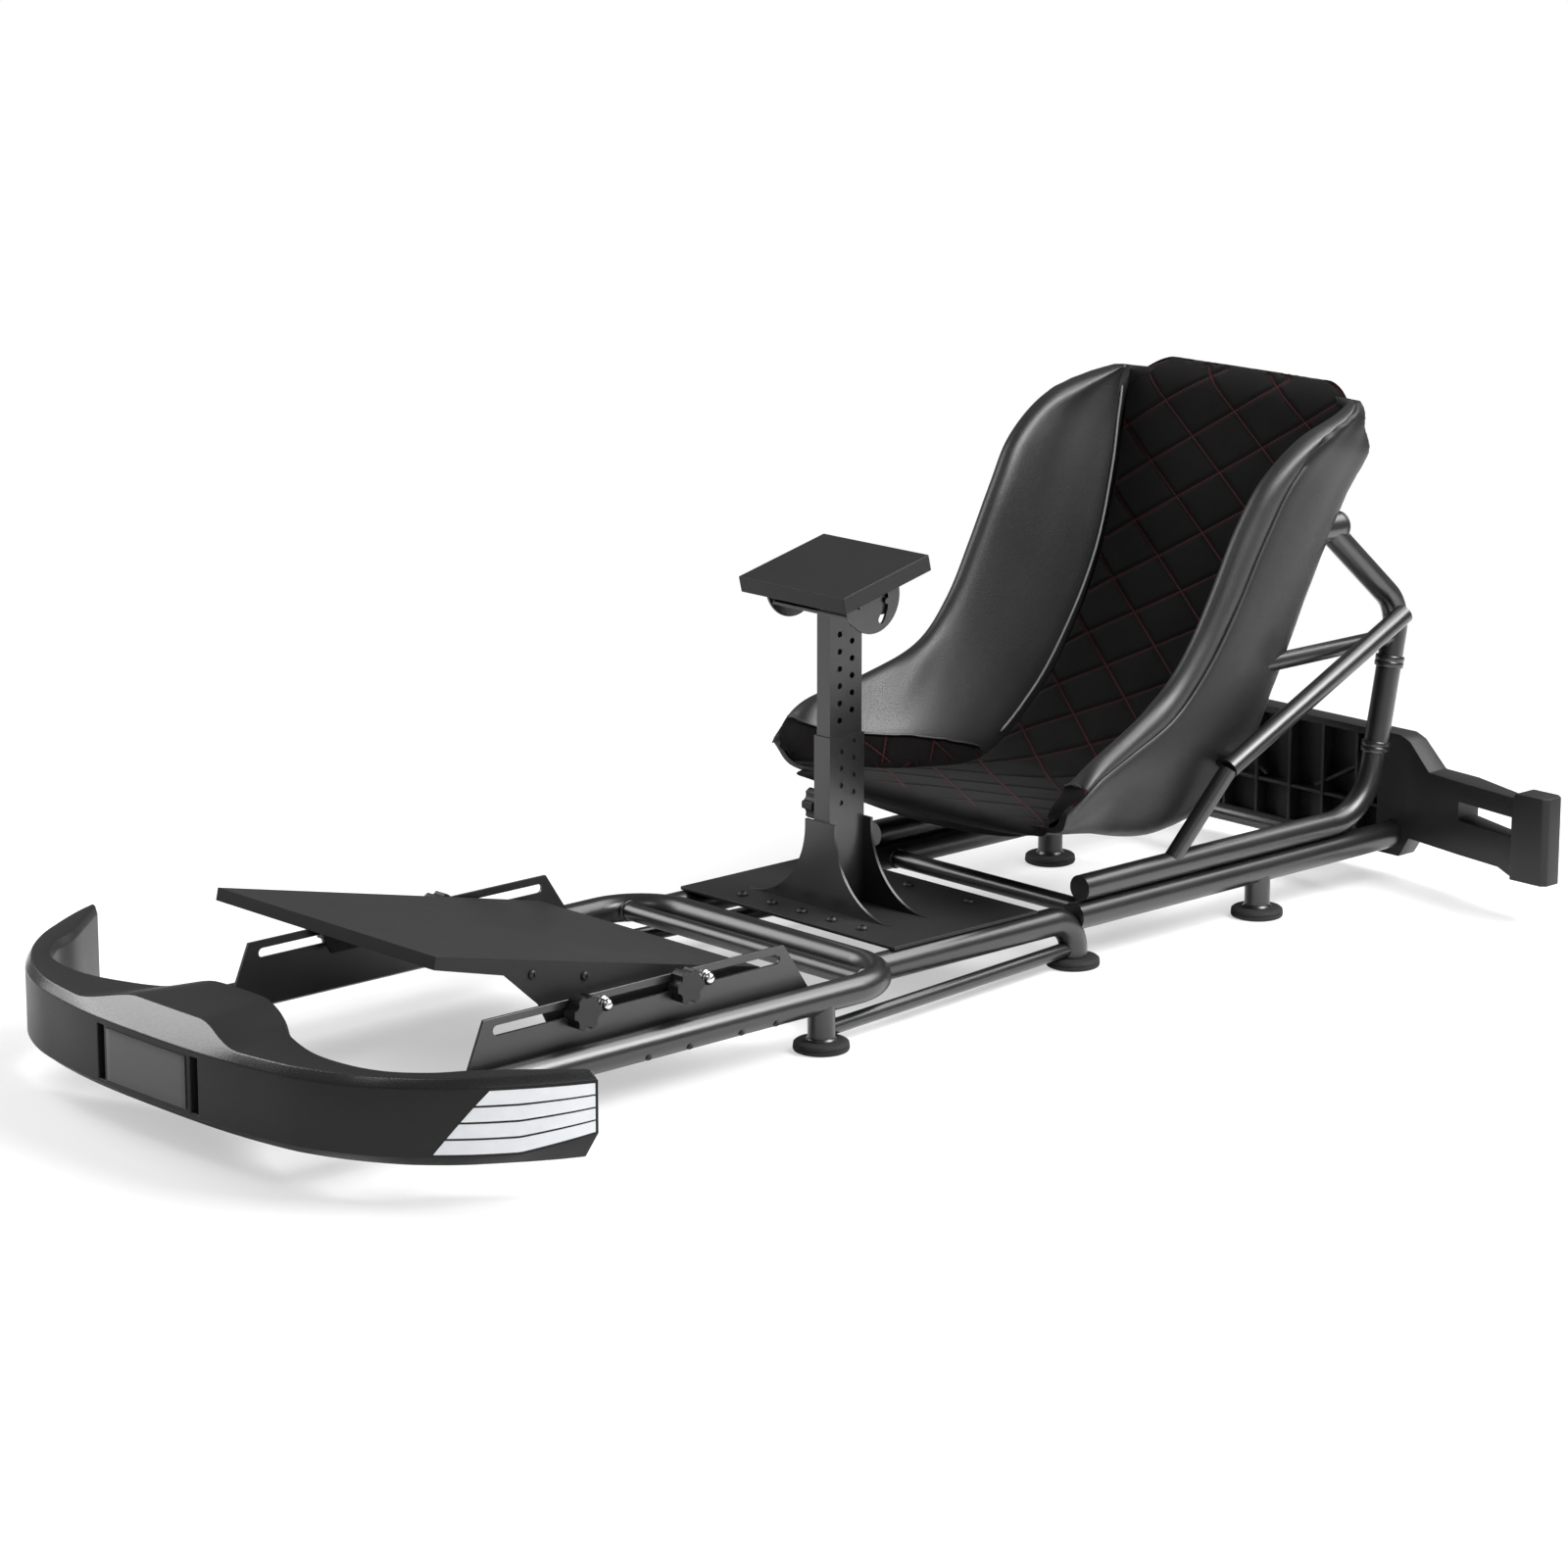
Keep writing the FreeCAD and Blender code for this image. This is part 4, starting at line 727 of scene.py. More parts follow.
def inflate(piece, held, swell):
    """Swell the padding by a short cloth run with the back and the seams held, and cap the movement."""
    rest = np.array([vertex.co for vertex in piece.data.vertices])
    group = piece.vertex_groups.new(name="held")
    for index, weight in enumerate(held):
        group.add([index], weight, "REPLACE")
    only(piece)
    cloth = piece.modifiers.new("cloth", "CLOTH")
    for name, value in CLOTH.items():
        setattr(cloth.settings, name, value)
    cloth.settings.effector_weights.gravity = 0.0
    cloth.point_cache.frame_start = 1
    cloth.point_cache.frame_end = CLOTH_FRAMES
    for step in range(1, CLOTH_FRAMES + 1):
        bpy.context.scene.frame_set(step)
    bpy.ops.object.modifier_apply(modifier="cloth")
    bpy.context.scene.frame_set(1)
    moved = np.array([vertex.co for vertex in piece.data.vertices]) - rest
    far = np.linalg.norm(moved, axis=1)
    kept = moved * (swell * np.tanh(far / swell) / np.maximum(far, 1e-9))[:, None]
    piece.data.vertices.foreach_set("co", (rest + kept).astype(np.float32).ravel())
    piece.data.update()
    piece.vertex_groups.clear()


# Lamps of the studio: name, place, aim, width, height and watts.
LAMPS = [
    ("key", (0.9, 2.0, 2.6), (-0.1, 0.4, 0.3), 3.2, 2.2, 130.0),
    ("wing", (1.95, 1.0, 2.15), (-0.2, 0.45, 0.35), 1.5, 1.3, 95.0),
    ("top", (-2.3, -1.2, 2.1), (0, -0.7, 0.1), 1.8, 1.6, 55.0),
    ("side", (-3.2, -2.3, 1.6), (0, -0.6, 0.2), 1.6, 1.2, 26.0),
    ("brow", (0.5, -2.0, 2.5), (0.1, -0.95, 0.1), 0.7, 0.7, 9.0),
    ("front", (3.4, -1.4, 1.5), (0, 0.1, 0.25), 1.6, 1.2, 10.0),
]
# Strength of the air where it lights the cockpit; the camera sees it at full strength.
AIR_LIGHT = 0.2
# The camera solved from the photograph: place, degrees below level, heading and lens on a 36 mm sensor.
CAMERA_SPOT = (4.526, -4.203, 1.796)
CAMERA_PITCH = 13.888
CAMERA_HEADING = 47.13
CAMERA_LENS = 112.5


class CockpitStage(bpy.types.Operator):
    """Floor, studio lights and the camera at the photographed angle"""
    bl_idname = "cockpit.stage"
    bl_label = "Studio"

    def execute(self, context):
        scene = context.scene
        make_finishes(scene)
        scene.view_settings.view_transform = "Standard"
        fresh()
        bpy.ops.mesh.primitive_circle_add(vertices=96, radius=14.0, fill_type="NGON", location=(0, 0, 0))
        floor = context.object
        floor.name = "studio_floor"
        floor.data.materials.append(self.floor_finish(scene.cockpit_colours))
        world = bpy.data.worlds.new("studio_air")
        scene.world = world
        air = Tree(world)
        camera_ray = air.node("ShaderNodeLightPath", output="Is Camera Ray")
        clear_ray = air.node("ShaderNodeLightPath", output="Is Transmission Ray")
        seen = camera_ray.sum("MAXIMUM", camera_ray, clear_ray)
        strength = air.node("ShaderNodeMapRange", None, {"Value": seen, "To Min": AIR_LIGHT})
        background = air.tree.nodes["Background"].inputs
        air.feed(background["Color"], (1, 1, 1, 1))
        air.feed(background["Strength"], strength)
        for lamp in LAMPS:
            self.lamp(*lamp)
        turn = (math.radians(90 - CAMERA_PITCH), 0, math.radians(CAMERA_HEADING))
        bpy.ops.object.camera_add(location=CAMERA_SPOT, rotation=turn)
        camera = context.object
        camera.data.lens = CAMERA_LENS
        camera.data.sensor_width = 36.0
        camera.data.clip_end = 200.0
        scene.camera = camera
        return {"FINISHED"}

    def lamp(self, name, spot, aim, wide, tall, power):
        fresh()
        bpy.ops.object.light_add(type="AREA", location=spot)
        lamp = bpy.context.object
        lamp.name = name
        lamp.data.shape = "RECTANGLE"
        lamp.data.size = wide
        lamp.data.size_y = tall
        lamp.data.energy = power
        lamp.rotation_euler = (Vector(aim) - Vector(spot)).to_track_quat("-Z", "Y").to_euler()

    def floor_finish(self, colours):
        """Catches the shadows, and fades to white for the camera away from the cockpit."""
        finish = Finish("studio_floor", {"Roughness": 0.7, "Specular IOR Level": 0.1,
                                         "Base Color": rgba(colours.floor)})
        rays = finish.node("ShaderNodeLightPath", None, None, "Is Camera Ray")
        where = finish.node("ShaderNodeVectorMath", {"operation": "LENGTH"}, {0: finish.place()}, "Value")
        glow = finish.node("ShaderNodeEmission", None, {"Color": (1, 1, 1, 1), "Strength": 1.0})
        share = rays * (where.smooth(1.0, 2.4) * 0.5 + 0.5)
        surface = Value(finish, finish.shader.outputs[0])
        mixed = finish.node("ShaderNodeMixShader", None, {0: share, 1: surface, 2: glow})
        finish.feed(finish.tree.nodes["Material Output"].inputs["Surface"], mixed)
        return finish.material


class CockpitFrame(bpy.types.Operator):
    """Powder coat on the tubes that stay as packed"""
    bl_idname = "cockpit.frame"
    bl_label = "Frame Tubes"

    def execute(self, context):
        for node in nodes.values():
            node.data.materials.clear()
            node.data.materials.append(FINISHES["powder_coat"])
        return {"FINISHED"}


class CockpitSeatShell(bpy.types.Operator):
    """The bucket's outer skin in leatherette"""
    bl_idname = "cockpit.seat_shell"
    bl_label = "Seat Shell"

    def execute(self, context):
        def share(v):
            return 0.014 + 0.966 * v
        base = lofted(shell_outline, share)
        columns = 136
        upper = [base(step / columns, 0.94).x for step in range(columns + 1)]
        widest = max(upper)

        def place(u, v):
            """The skin with a rolled top: a slight flare, and corners closed round the bolsters."""
            spot = base(u, v)
            along = share(v) * SEAT.length
            at = SEAT.station(along)
            centre = SEAT.spot(along, 0.0, 0.1 * at.height - 0.35 * at.thick)
            spot = centre + (spot - centre) * (1.0 + 0.03 * math.exp(-((0.925 - v) / 0.04) ** 2))
            aside = eased((abs(upper[round(u * columns)]) / widest - 0.62) / 0.25)
            closed = (1.0 - top_round(along)) * aside
            return spot + (side_middle(along, math.copysign(1.0, spot.x)) - spot) * closed
        shell = grid_piece("bucket_shell", columns, 120, place)
        clean_up(shell)
        round_edges(shell, 0.004, 3, 60.0)
        dress(shell, 50.0, "shell_skin", "seat", "shell_leather", "seat_shell")
        return {"FINISHED"}


class CockpitSeatPads(bpy.types.Operator):
    """The quilted middle and the smooth bolsters, swollen by a short cloth run"""
    bl_idname = "cockpit.seat_pads"
    bl_label = "Seat Pads"

    def execute(self, context):
        sizes = context.scene.cockpit_sizes
        self.middle(sizes)
        left = self.bolster(sizes)
        right = other_side(left)
        for bolster, node in ((left, "seat_bolster_left"), (right, "seat_bolster_right")):
            settle(bolster, "seat", "bolster_leather", node)
        return {"FINISHED"}

    def across(self, u, half):
        """Place across the pad for a share of its section: the face first, then round the back."""
        return half * (2.0 * u / PAD_FACE - 1.0) if u <= PAD_FACE else half

    def section(self, u, half, deep, nose):
        """Point of the pad's section: the face, one side, the back and the other side."""
        if u <= PAD_FACE:
            x = self.across(u, half)
            return x, -0.003 - 0.006 * abs(x / half) ** 6
        turn = (u - PAD_FACE) / (1.0 - PAD_FACE)
        fall = 0.6 * deep * (1.0 - nose) - PAD_EDGE
        if turn < PAD_SIDE:
            return half, PAD_EDGE + fall * turn / PAD_SIDE
        if turn > 1.0 - PAD_SIDE:
            return -half, PAD_EDGE + fall * (1.0 - turn) / PAD_SIDE
        x = (half - 0.014) * (1.0 - 2.0 * (turn - PAD_SIDE) / (1.0 - 2.0 * PAD_SIDE))
        return x, deep * (1.0 - nose * abs(x / half) ** 3)

    def middle(self, sizes):
        def place(u, v):
            """The section, with thin rounded ends that wrap round the shell, and rounded top corners."""
            at = SEAT.station(v * SEAT.length)
            fat = max(0.16, rounded(min(v / 0.03, (1.0 - v) / 0.045)))
            wrap = 1.0 - min(1.0, min(v, 1.0 - v) / 0.06)
            half = at.half - 0.034 * (1.0 - rounded((1.0 - v) / 0.07))
            deep = -at.thick + 0.015 - wrap * 0.017
            x, s = self.section(u, half, deep, nose_round(at.height) * 0.5)
            centre = 0.5 * deep
            return SEAT.spot(v * SEAT.length, x, centre + (s - centre) * fat)

        pad = grid_piece("quilted_pad", 104, 150, place)
        keep_spread(pad, lambda u, v: (self.across(u, SEAT.station(v * SEAT.length).half), v * SEAT.length))
        clean_up(pad, merge=2e-4, split=True)
        held = []
        for u, v in vertex_uvs(pad, 0):
            half = SEAT.station(v * SEAT.length).half
            away = self.lines(self.across(u, half), v * SEAT.length, sizes)
            held.append(1.0 if u > 0.735 or u < 0.005 else max(0.0, 1.0 - away / 0.007) ** 0.5)
        inflate(pad, held, sizes.pad_swell)
        self.relax(pad, 3)
        apply_modifier(pad, "SUBSURF", levels=1, render_levels=1)
        self.channels(pad, sizes)
        dress(pad, 60.0, "quilted_suede", "seat", "pad_fabric", "seat_center_pad")

    def relax(self, piece, passes):
        """Ease small wrinkles out of the padding."""
        with edited(piece):
            bpy.ops.mesh.vertices_smooth(factor=0.5, repeat=passes)

    def lines(self, x, along, sizes):
        """Distance to the nearest quilting line."""
        pitch = sizes.quilt_pitch
        near = 1.0
        for line in ((along + x / QUILT_SLOPE) / pitch, (along - x / QUILT_SLOPE) / pitch):
            near = min(near, abs(line - round(line)) * pitch * QUILT_SQUARE)
        return near

    def channels(self, pad, sizes):
        """Press the stitched lines in, along the normals."""
        normals = [vertex.normal.copy() for vertex in pad.data.vertices]
        for vertex, (x, along) in zip(pad.data.vertices, vertex_uvs(pad, "spread")):
            if SEAT.over(along, vertex.co) > -0.014 and abs(x) < SEAT.station(along).half - 0.004:
                near = self.lines(x, along, sizes)
                depth = sizes.quilt_depth * clamp((along - 0.02) / 0.04)
                vertex.co -= normals[vertex.index] * depth * math.exp(-(near / 0.0032) ** 2)
        pad.data.update()

    def bolster(self, sizes):
        def share(v):
            return 0.004 + 0.982 * v
        base = lofted(bolster_outline, share)

        def place(u, v):
            spot = base(u, v)
            along = share(v) * SEAT.length
            centre = side_middle(along)
            return centre + (spot - centre) * max(0.12, min(rounded(v / 0.02), top_round(along)))

        def spread(u, v):
            at = SEAT.station(share(v) * SEAT.length)
            return at.half + 0.003 + u * 2.3 * (at.height + 0.6 * at.thick), share(v) * SEAT.length
        piece = grid_piece("bolster_left", 64, 120, place)
        keep_spread(piece, spread)
        clean_up(piece, merge=2e-4, split=True)
        held = []
        for vertex, (u, v) in zip(piece.data.vertices, vertex_uvs(piece, 0)):
            along = share(v) * SEAT.length
            away = abs(SEAT.over(along, vertex.co) - trim_height(along))
            held.append(1.0 if u > 0.4 or u < 0.02 else max(0.0, 1.0 - away / 0.006) ** 0.5)
        inflate(piece, held, sizes.pad_swell)
        self.relax(piece, 12)
        apply_modifier(piece, "SUBSURF", levels=1, render_levels=1)
        wear(piece, "leather", "quilted_suede")
        layer = piece.data.uv_layers["spread"]
        for face in piece.data.polygons:
            along = sum(layer.data[i].uv[1] for i in face.loop_indices) / face.loop_total
            face.material_index = 1 if SEAT.over(along, face.center) < trim_height(along) else 0
        shade(piece, 60.0)
        return piece


class CockpitPiping(bpy.types.Operator):
    """Piping along the seams of the seat"""
    bl_idname = "cockpit.piping"
    bl_label = "Seat Piping"

    def execute(self, context):
        radius = context.scene.cockpit_sizes.piping
        seam = [self.seam_spot(0.966 - 0.611 * step / 40.0) for step in range(41)]
        fold = [face_spot(along, trim_height(along)) for along in np.linspace(0.289, 0.056, 28)]
        fold += [face_spot(0.05, tall) for tall in (0.056, 0.06, 0.2)]
        rim = [self.rim_spot(0.012 + 0.9 * step / 48.0) for step in range(49)]
        cord = tube_piece("seam_piping_left", seam, radius, 150)
        welt = tube_piece("nose_welt_left", fold, radius * 1.15, 110)
        bead = tube_piece("rim_piping_left", rim, radius * 1.3, 150)
        settle_pair(cord, "seat", "pad_fabric", "piping_cord")
        settle_pair(welt, "seat", "bolster_leather", "leather")
        settle_pair(bead, "seat", "bolster_leather", "leather")
        return {"FINISHED"}

    def seam_spot(self, share):
        along = share * SEAT.length
        return SEAT.spot(along, SEAT.station(along).half + 0.0015, 0.0)

    def rim_spot(self, share):
        along = share * SEAT.length
        at = SEAT.station(along)
        return SEAT.spot(along, at.rim_half + 0.0166, 0.765 * at.height * nose_drop(along))


class BumperLine:
    """The front bumper's plan and upright section, in metres."""
    half, front, sweep, edge, low, tall = 0.496, -1.02, 0.272, 0.009, 0.045, 0.105
    hump_height, hump_half, visor_depth, panel_half = 0.016, 0.092, 0.034, 0.078

    def __init__(self):
        left = [(-a, b, -c, d) for a, b, c, d in reversed(BUMPER_PLAN[1:])]
        self.line = Track(left + list(BUMPER_PLAN))

    def plan(self, share):
        """Outer and inner points of the plan, from the right end to the left."""
        x_out, y_out, x_in, y_in = self.line.at(share)
        outer = Vector((x_out * self.half, self.front + y_out * self.sweep, 0))
        inner = Vector((x_in * self.half, self.front + y_in * self.sweep, 0))
        return outer, inner, y_out

    def share_at(self, x):
        """Share of the plan's length where its outer edge reaches a half width."""
        low, high = 0.5, 1.0
        for _ in range(30):
            middle = (low + high) / 2.0
            if self.plan(middle)[0].x < x:
                low = middle
            else:
                high = middle
        return high

    def lower_lip(self, y_out):
        return self.low + 1.5 * self.edge + max(0.0, (y_out - 0.7) / 0.3) * 2.0 * self.edge

    def section(self, share):
        """Eight corners of the section: bevelled edges, and a sloping visor at the middle."""
        outer, inner, y_out = self.plan(share)
        inward = inner - outer
        depth = inward.length
        inward.normalize()
        edge, low = self.edge, self.low
        arm_top = low + self.tall
        hump = 1.0 - eased((abs(outer.x) / self.hump_half - 0.7) / 1.1)
        top = arm_top + hump * self.hump_height
        visor = edge + hump * (self.visor_depth - edge)
        profile = [(2.0 * edge, low), (0, self.lower_lip(y_out)), (0, arm_top - 1.2 * edge), (visor, top),
                   (depth - edge, top), (depth, top - edge), (depth, low + 0.3 * edge),
                   (depth - 0.3 * edge, low)]
        return [outer + inward * d + Vector((0, 0, z)) for d, z in profile]


STRIPES = 4


class CockpitFrontBumper(bpy.types.Operator):
    """The moulded front bumper with its visor, slots and striped ends"""
    bl_idname = "cockpit.front_bumper"
    bl_label = "Front Bumper"

    def execute(self, context):
        sizes = context.scene.cockpit_sizes
        line = BumperLine()
        sections = {}

        def place(u, v):
            if v not in sections:
                sections[v] = line.section(v)
            return sections[v][round(u * 8) % 8]
        bumper = grid_piece("front_bumper_moulding", 8, 150, place)
        clean_up(bumper)
        for side in (-1, 1):
            cutter = block((0.014, 0.05, 0.068), (side * line.hump_half, line.front + 0.004, 0.0975))
            apply_modifier(bumper, "BOOLEAN", object=cutter, operation="DIFFERENCE", solver="EXACT")
            bpy.data.objects.remove(cutter)
        round_edges(bumper, sizes.bumper_edge, 3, 24.0)
        shade(bumper, 30.0)
        wear(bumper, "moulded_plastic", "moulded_ridge")
        for face in bumper.data.polygons:
            sloping = 0.3 < face.normal.z < 0.93 and face.normal.y < 0.25
            face.material_index = 1 if sloping and face.center.z > line.low + 0.8 * line.tall else 0
        settle(bumper, "base", "bumper_plastic", "front_bumper")

        # A thin lighter grey sheet between the slots, a painted highlight on the bumper's front face.
        def highlight_panel_place(u, v):
            x = line.panel_half * (2.0 * u - 1.0)
            outer = line.plan(line.share_at(abs(x)))[0]
            return Vector((x, outer.y - 0.0006, 0.066 + 0.064 * v))
        highlight_panel = grid_piece("bumper_highlight_panel", 16, 6, highlight_panel_place)
        clean_up(highlight_panel, fill=False)
        apply_modifier(highlight_panel, "SOLIDIFY", thickness=0.0024, offset=0.0)
        round_edges(highlight_panel, 0.0008, 2, 40.0)
        dress(highlight_panel, 40.0, "panel_painted_highlight", "base", "bumper_plastic")
        for band in range(STRIPES):
            settle_pair(self.stripe(line, band), "base", "bumper_plastic", "stripe_film")
        return {"FINISHED"}

    def stripe(self, line, band):
        """One silver band on the bumper's end, with a slanted front edge."""
        top = line.low + line.tall - 1.2 * line.edge - 0.002

        def place(u, v):
            rise = (band + 0.07 + 0.86 * v) / STRIPES
            start = line.share_at(0.394 + 0.042 * rise)
            share = start + (0.994 - start) * u
            outer, _, y_out = line.plan(share)
            ahead = line.plan(min(1.0, share + 0.003))[0] - line.plan(share - 0.003)[0]
            outward = Vector((ahead.y, -ahead.x, 0)).normalized()
            bottom = line.lower_lip(y_out) + 0.002
            return outer + outward * 0.0004 + Vector((0, 0, bottom + (top - bottom) * rise))
        film = grid_piece(f"bumper_stripe_{band + 1}_left", 30, 2, place)
        clean_up(film, fill=False)
        apply_modifier(film, "SOLIDIFY", thickness=0.0009, offset=0.0)
        shade(film, 40.0)
        return film


class CockpitRearBumper(bpy.types.Operator):
    """The rear bumper with rounded edges, and the ribs in its hollow front"""
    bl_idname = "cockpit.rear_bumper"
    bl_label = "Rear Bumper"

    def execute(self, context):
        sizes = context.scene.cockpit_sizes
        bumper = merged_copy("rear_bumper", "rear_bumper_moulding")
        round_edges(bumper, sizes.bumper_edge * 0.8, 3, 30.0)
        dress(bumper, 30.0, "moulded_plastic", "base", "bumper_plastic", "rear_bumper")
        uprights = (-0.125, -0.0625, 0.0, 0.0625, 0.125)
        ribs = [block((0.005, 0.024, 0.157), (x, 1.001, 0.124)) for x in uprights]
        for x, lean in ((-0.094, 0.5), (0.094, -0.5)):
            ribs.append(block((0.11, 0.02, 0.005), (x, 1.003, 0.135), lean))
        ribs.append(block((0.336, 0.022, 0.005), (0.0, 1.002, 0.1)))
        fresh()
        for rib in ribs:
            rib.select_set(True)
        context.view_layer.objects.active = ribs[0]
        bpy.ops.object.join()
        web = context.object
        web.name = "rear_bumper_ribs"
        round_edges(web, 0.0012, 1)
        dress(web, 30.0, "dark_plastic", "base", "bumper_plastic")
        return {"FINISHED"}


class CockpitPlates(bpy.types.Operator):
    """Plates, brackets, post and sleeve with rounded edges"""
    bl_idname = "cockpit.plates"
    bl_label = "Plates and Post"

    def execute(self, context):
        edge = context.scene.cockpit_sizes.plate_edge
        for node in ("pedal_plate", "wheel_plate", "steering_base_plate"):
            softened(node, node + "_coated", edge, "sheet_coat", "frame_paint", 3)
        for node in ("pedal_bracket_left", "pedal_bracket_right", "front_gusset", "rear_gusset", "post_head",
                     "wheel_ear_left", "wheel_ear_right"):
            softened(node, node + "_coated", edge * 0.8, "powder_coat", "frame_paint")
        for node in ("post_sleeve", "steering_post"):
            softened(node, node + "_coated", edge, "powder_coat", "frame_paint")
        self.shade_liner()
        return {"FINISHED"}

    def shade_liner(self):
        """A dark channel inside the post, put there as painted shade behind its holes."""
        low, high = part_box("steering_post")
        middle = (low + high) / 2.0
        channel_shade = [(-0.009, -0.025), (0.009, -0.025), (0.009, -0.0235), (-0.0075, -0.0235), (-0.0075, 0.0235),
                   (0.009, 0.0235), (0.009, 0.025), (-0.009, 0.025)]

        def place(u, v):
            x, y = channel_shade[round(u * 8) % 8]
            return Vector((middle.x + x, middle.y + y, low.z + 0.004 + (high.z - low.z - 0.008) * v))
        # Painted shade: dark plastic fills the inside of the post so that its holes look dark.
        shade_liner = grid_piece("post_shade_liner", 8, 4, place)
        clean_up(shade_liner)
        round_edges(shade_liner, 0.0004, 1)
        dress(shade_liner, 30.0, "dark_plastic", nodes["steering_post"]["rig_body"], "knob_plastic")


# The pedal brackets' outer faces, which the domed nuts lie on.
NUT_FACE = 0.231


class CockpitKnobs(bpy.types.Operator):
    """Star knobs, clamp knob and domed nuts"""
    bl_idname = "cockpit.knobs"
    bl_label = "Knobs and Nuts"

    def execute(self, context):
        for node in ("pedal_knob_front_left", "pedal_knob_front_right", "pedal_knob_rear_left",
                     "pedal_knob_rear_right", "post_knob"):
            softened(node, node + "_moulded", 0.0016, "dark_plastic", "knob_plastic", 3)
        dome = [(0, -17.6), (4.8, -17.6), (4.8, 0), (9.6, 0), (9.8, 0.6), (9.2, 1.6), (8.6, 2),
                (8.6, 5.8), (7.9, 6.4), (7.7, 8), (6.8, 10.4), (4.8, 12.6), (2.5, 13.6), (0, 13.9)]
        for place in ("front", "rear"):
            for side, turn in (("left", 1.0), ("right", -1.0)):
                node = f"pedal_nut_{place}_{side}"
                middle = middle_of(node)
                nut = lathe(node + "_domed", dome, (NUT_FACE * turn, middle.y, middle.z), (turn, 0, 0), 28)
                wear(nut, "bright_steel")
                settle(nut, "pedal_deck", "bolt_steel", node)
        return {"FINISHED"}


class CockpitFeet(bpy.types.Operator):
    """Rubber feet with their columns"""
    bl_idname = "cockpit.feet"
    bl_label = "Feet"

    def execute(self, context):
        pad = [(0, 0), (32.5, 0), (35.2, 1.2), (36, 3), (36, 5.8), (35, 6.4), (35, 7.4), (35.8, 8.2),
               (35.2, 10.8), (33, 12.6), (27, 13.2), (20.5, 13.4)]
        stem = [(20.2, 14.6), (19, 16.2), (17.8, 17.2), (17.5, 18.6), (17.5, 58.8), (0, 58.8)]
        for place in ("front", "mid", "rear"):
            for side in ("left", "right"):
                node = f"{place}_foot_{side}"
                middle = middle_of(node)
                profile = pad + (stem if place != "mid" else [(19, 13.4), (0, 13.4)])
                foot = lathe(node + "_rubber", profile, (middle.x, middle.y, 0.0), (0, 0, 1), 48)
                wear(foot, "rubber", "powder_coat")
                for face in foot.data.polygons:
                    face.material_index = 1 if face.center.z > 0.0141 else 0
                settle(foot, "base", "foot_rubber", node)
        return {"FINISHED"}


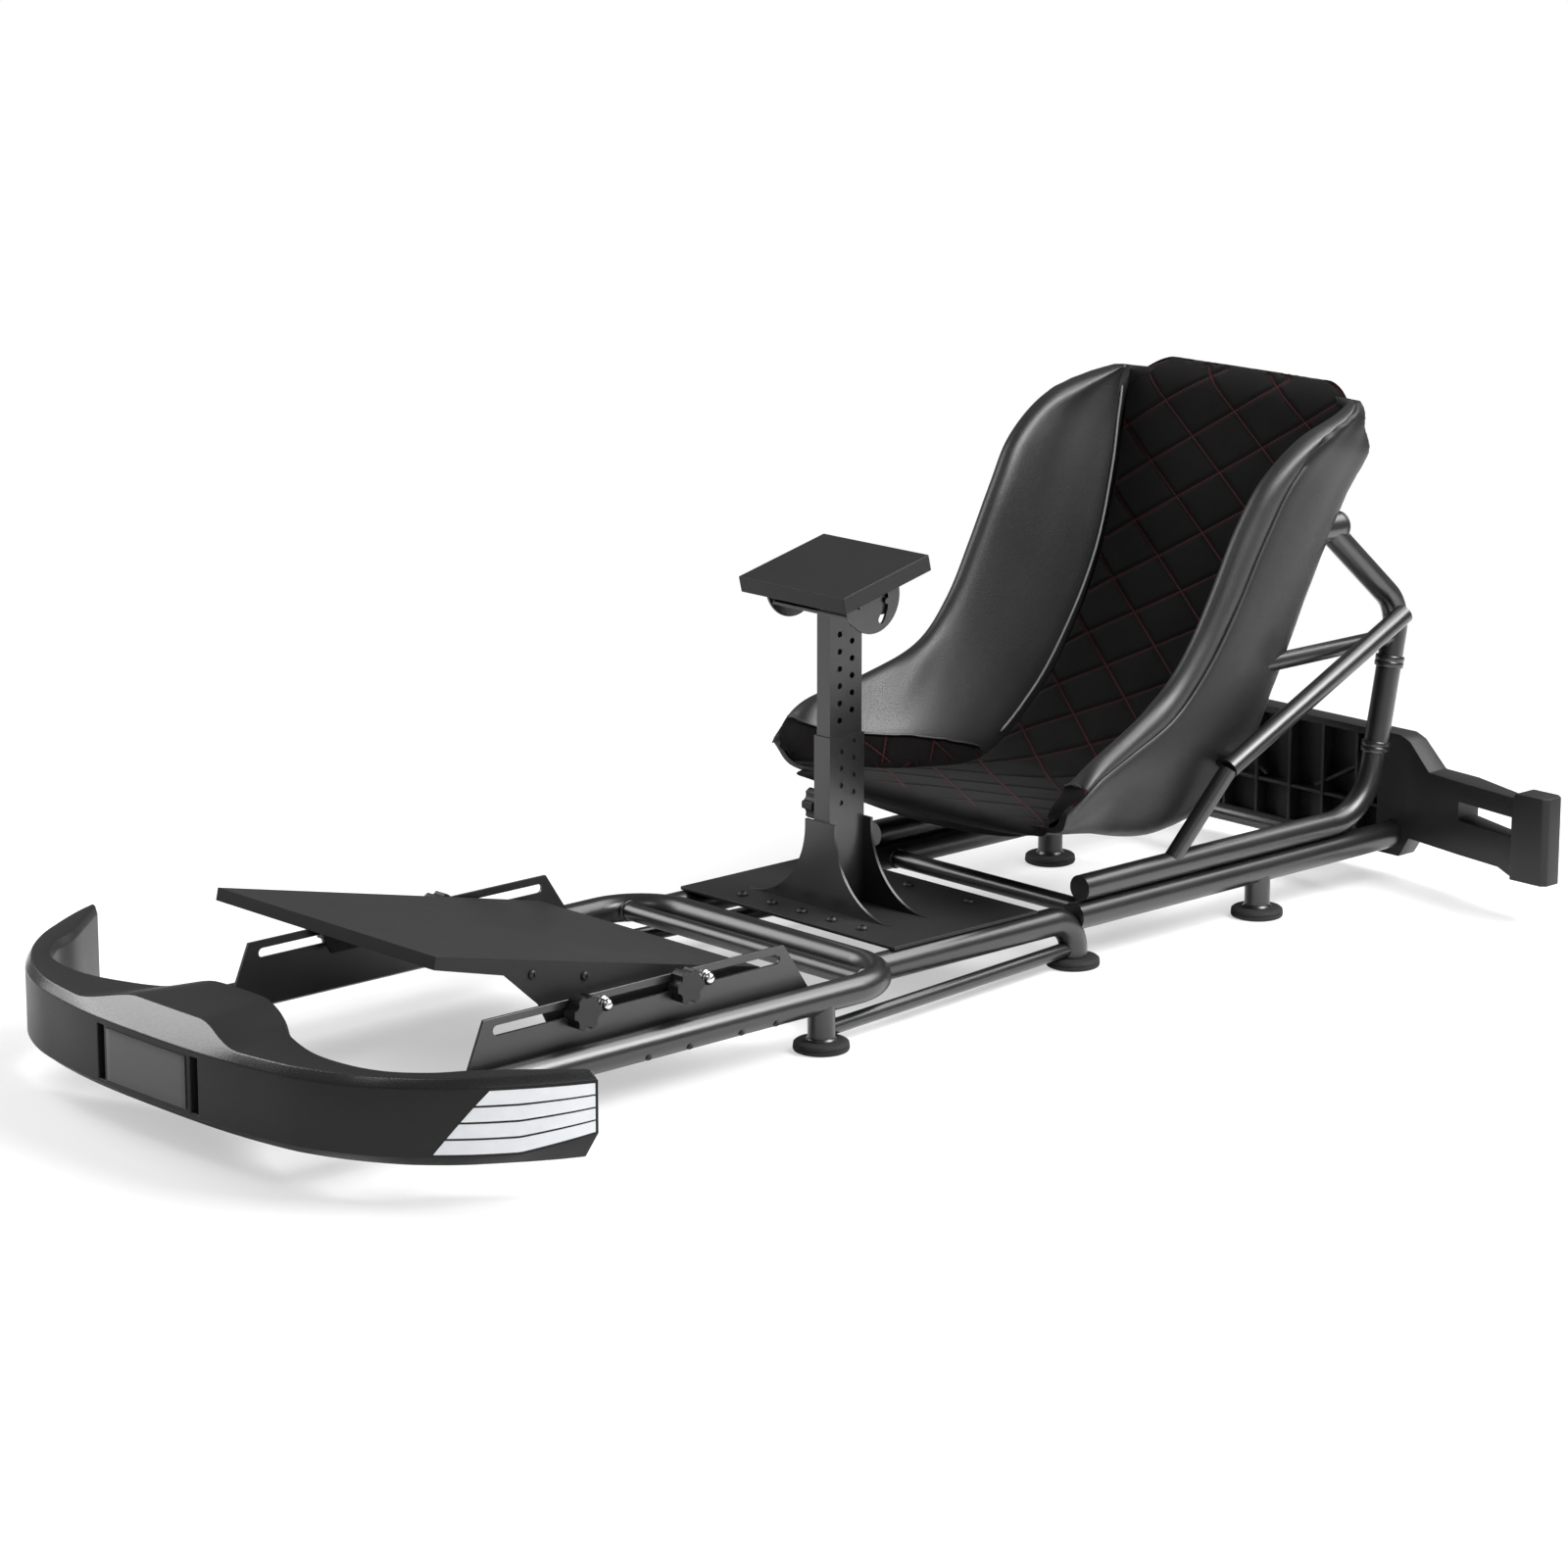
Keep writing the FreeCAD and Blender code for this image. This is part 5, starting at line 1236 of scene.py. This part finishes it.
class CockpitFittings(bpy.types.Operator):
    """Collars, boss caps, bolt heads, screws and weld beads"""
    bl_idname = "cockpit.fittings"
    bl_label = "Fittings"

    def execute(self, context):
        self.collars()
        self.bolts()
        self.welds()
        return {"FINISHED"}

    def collars(self):
        """Clamp rings on the seat hoops, and washers where the hoops meet the seat's back."""
        ring = [(17.2, -8), (19.6, -8), (20.4, -6.8), (20.4, -1.2), (19.6, 0), (20.4, 1.2), (20.4, 6.8),
                (19.6, 8), (17.2, 8)]
        # The left hoop's lower bend, and its upright run.
        foot = Vector((0.198, 0.925, 0.1038))
        riser = Vector((0.0, 0.06, 0.291))
        for count, rise in enumerate((0.33, 0.74)):
            collar = lathe(f"hoop_collar_{count + 1}_left", ring, foot + riser * rise, riser.normalized(), 36)
            settle_pair(collar, "seat", "frame_paint", "powder_coat")
        cap = [(0, -4), (18.2, -4), (19.8, -2.5), (19.8, 1.5), (18.5, 3), (12, 3), (10.5, 1.2), (0, 1.2)]
        spot = middle_of("seat_boss_left")
        spot.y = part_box("seat_boss_left")[1].y - 0.0012
        settle_pair(lathe("boss_cap_left", cap, spot, (0, 1, 0), 36), "seat", "frame_paint", "dark_plastic")

    def bolts(self):
        """Heads on the base plate, screws in the front tube and in the pedal plate's flanges."""
        head = [(0, 0), (7.2, 0), (7.4, 0.8), (6.8, 2.8), (5, 4.2), (3.2, 4.8), (3.1, 2.6), (0, 2.6)]
        spots = [(0.0, 0.03), (-0.115, 0.03), (-0.0575, 0.03), (0.0575, 0.03), (0.115, 0.03),
                 (-0.115, 0.225), (0.0, 0.225), (0.115, 0.225)]
        for count, (x, y) in enumerate(spots):
            bolt = lathe(f"base_bolt_{count + 1}", head, (x, y, 0.091), (0, 0, 1), 24)
            wear(bolt, "dark_plastic")
            settle(bolt, "base", "bolt_steel")
        lean = Vector((0.82, 0.0, -0.57))
        small = [(r * 0.62, h * 0.62) for r, h in head]
        for count, y in enumerate((-0.471, -0.404, -0.319, -0.261)):
            spot = Vector((0.25, y, 0.067)) + lean * 0.0187
            screw = lathe(f"rail_screw_{count + 1}_left", small, spot, lean, 20)
            settle_pair(screw, "base", "bolt_steel", "dark_plastic")
        flat = [(r * 0.8, h * 0.7) for r, h in head]
        for count, (y, z) in enumerate(((-0.6087, 0.1763), (-0.5265, 0.1584))):
            screw = lathe(f"plate_screw_{count + 1}_left", flat, (0.213, y, z), (1, 0, 0), 20)
            settle_pair(screw, "pedal_deck", "bolt_steel", "dark_plastic")

    def welds(self):
        """Beads where the cross bars meet the rails."""
        for node in ("front_cross_bar", "mid_cross_bar", "rear_cross_bar"):
            middle = middle_of(node)
            end = (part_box(node)[1].x - 0.004, middle.y, middle.z)
            fresh()
            bpy.ops.mesh.primitive_torus_add(major_segments=44, minor_segments=8, major_radius=0.0124,
                                             minor_radius=0.0024, location=end, rotation=(0, math.pi / 2, 0))
            bead = bpy.context.object
            bead.name = f"{node}_weld_left"
            freeze()
            for vertex in bead.data.vertices:
                turn = math.atan2(vertex.co.z - middle.z, vertex.co.y - middle.y)
                vertex.co.x += 0.0006 * math.sin(turn * 22.0)
            shade(bead, 50.0)
            settle_pair(bead, "base", "frame_paint", "powder_coat")


CLASSES = [CockpitSizes, CockpitColours, CockpitStage, CockpitFrame, CockpitSeatShell, CockpitSeatPads,
           CockpitPiping, CockpitFrontBumper, CockpitRearBumper, CockpitPlates, CockpitKnobs, CockpitFeet,
           CockpitFittings]
OPERATORS = [cls for cls in CLASSES if issubclass(cls, bpy.types.Operator)]


class CockpitPanel(bpy.types.Panel):
    """Lists the pieces of the cockpit"""
    bl_idname = "VIEW3D_PT_cockpit"
    bl_label = "Racing Cockpit"
    bl_space_type = "VIEW_3D"
    bl_region_type = "UI"
    bl_category = "Cockpit"

    def draw(self, context):
        for operator in OPERATORS:
            self.layout.operator(operator.bl_idname)


def register():
    for cls in CLASSES + [CockpitPanel]:
        bpy.utils.register_class(cls)
    bpy.types.Scene.cockpit_sizes = PointerProperty(type=CockpitSizes)
    bpy.types.Scene.cockpit_colours = PointerProperty(type=CockpitColours)


def unregister():
    del bpy.types.Scene.cockpit_colours
    del bpy.types.Scene.cockpit_sizes
    for cls in reversed(CLASSES + [CockpitPanel]):
        bpy.utils.unregister_class(cls)


def main():
    register()
    for operator in OPERATORS:
        group, name = operator.bl_idname.split(".")
        getattr(getattr(bpy.ops, group), name)()


if __name__ == "__main__":
    main()
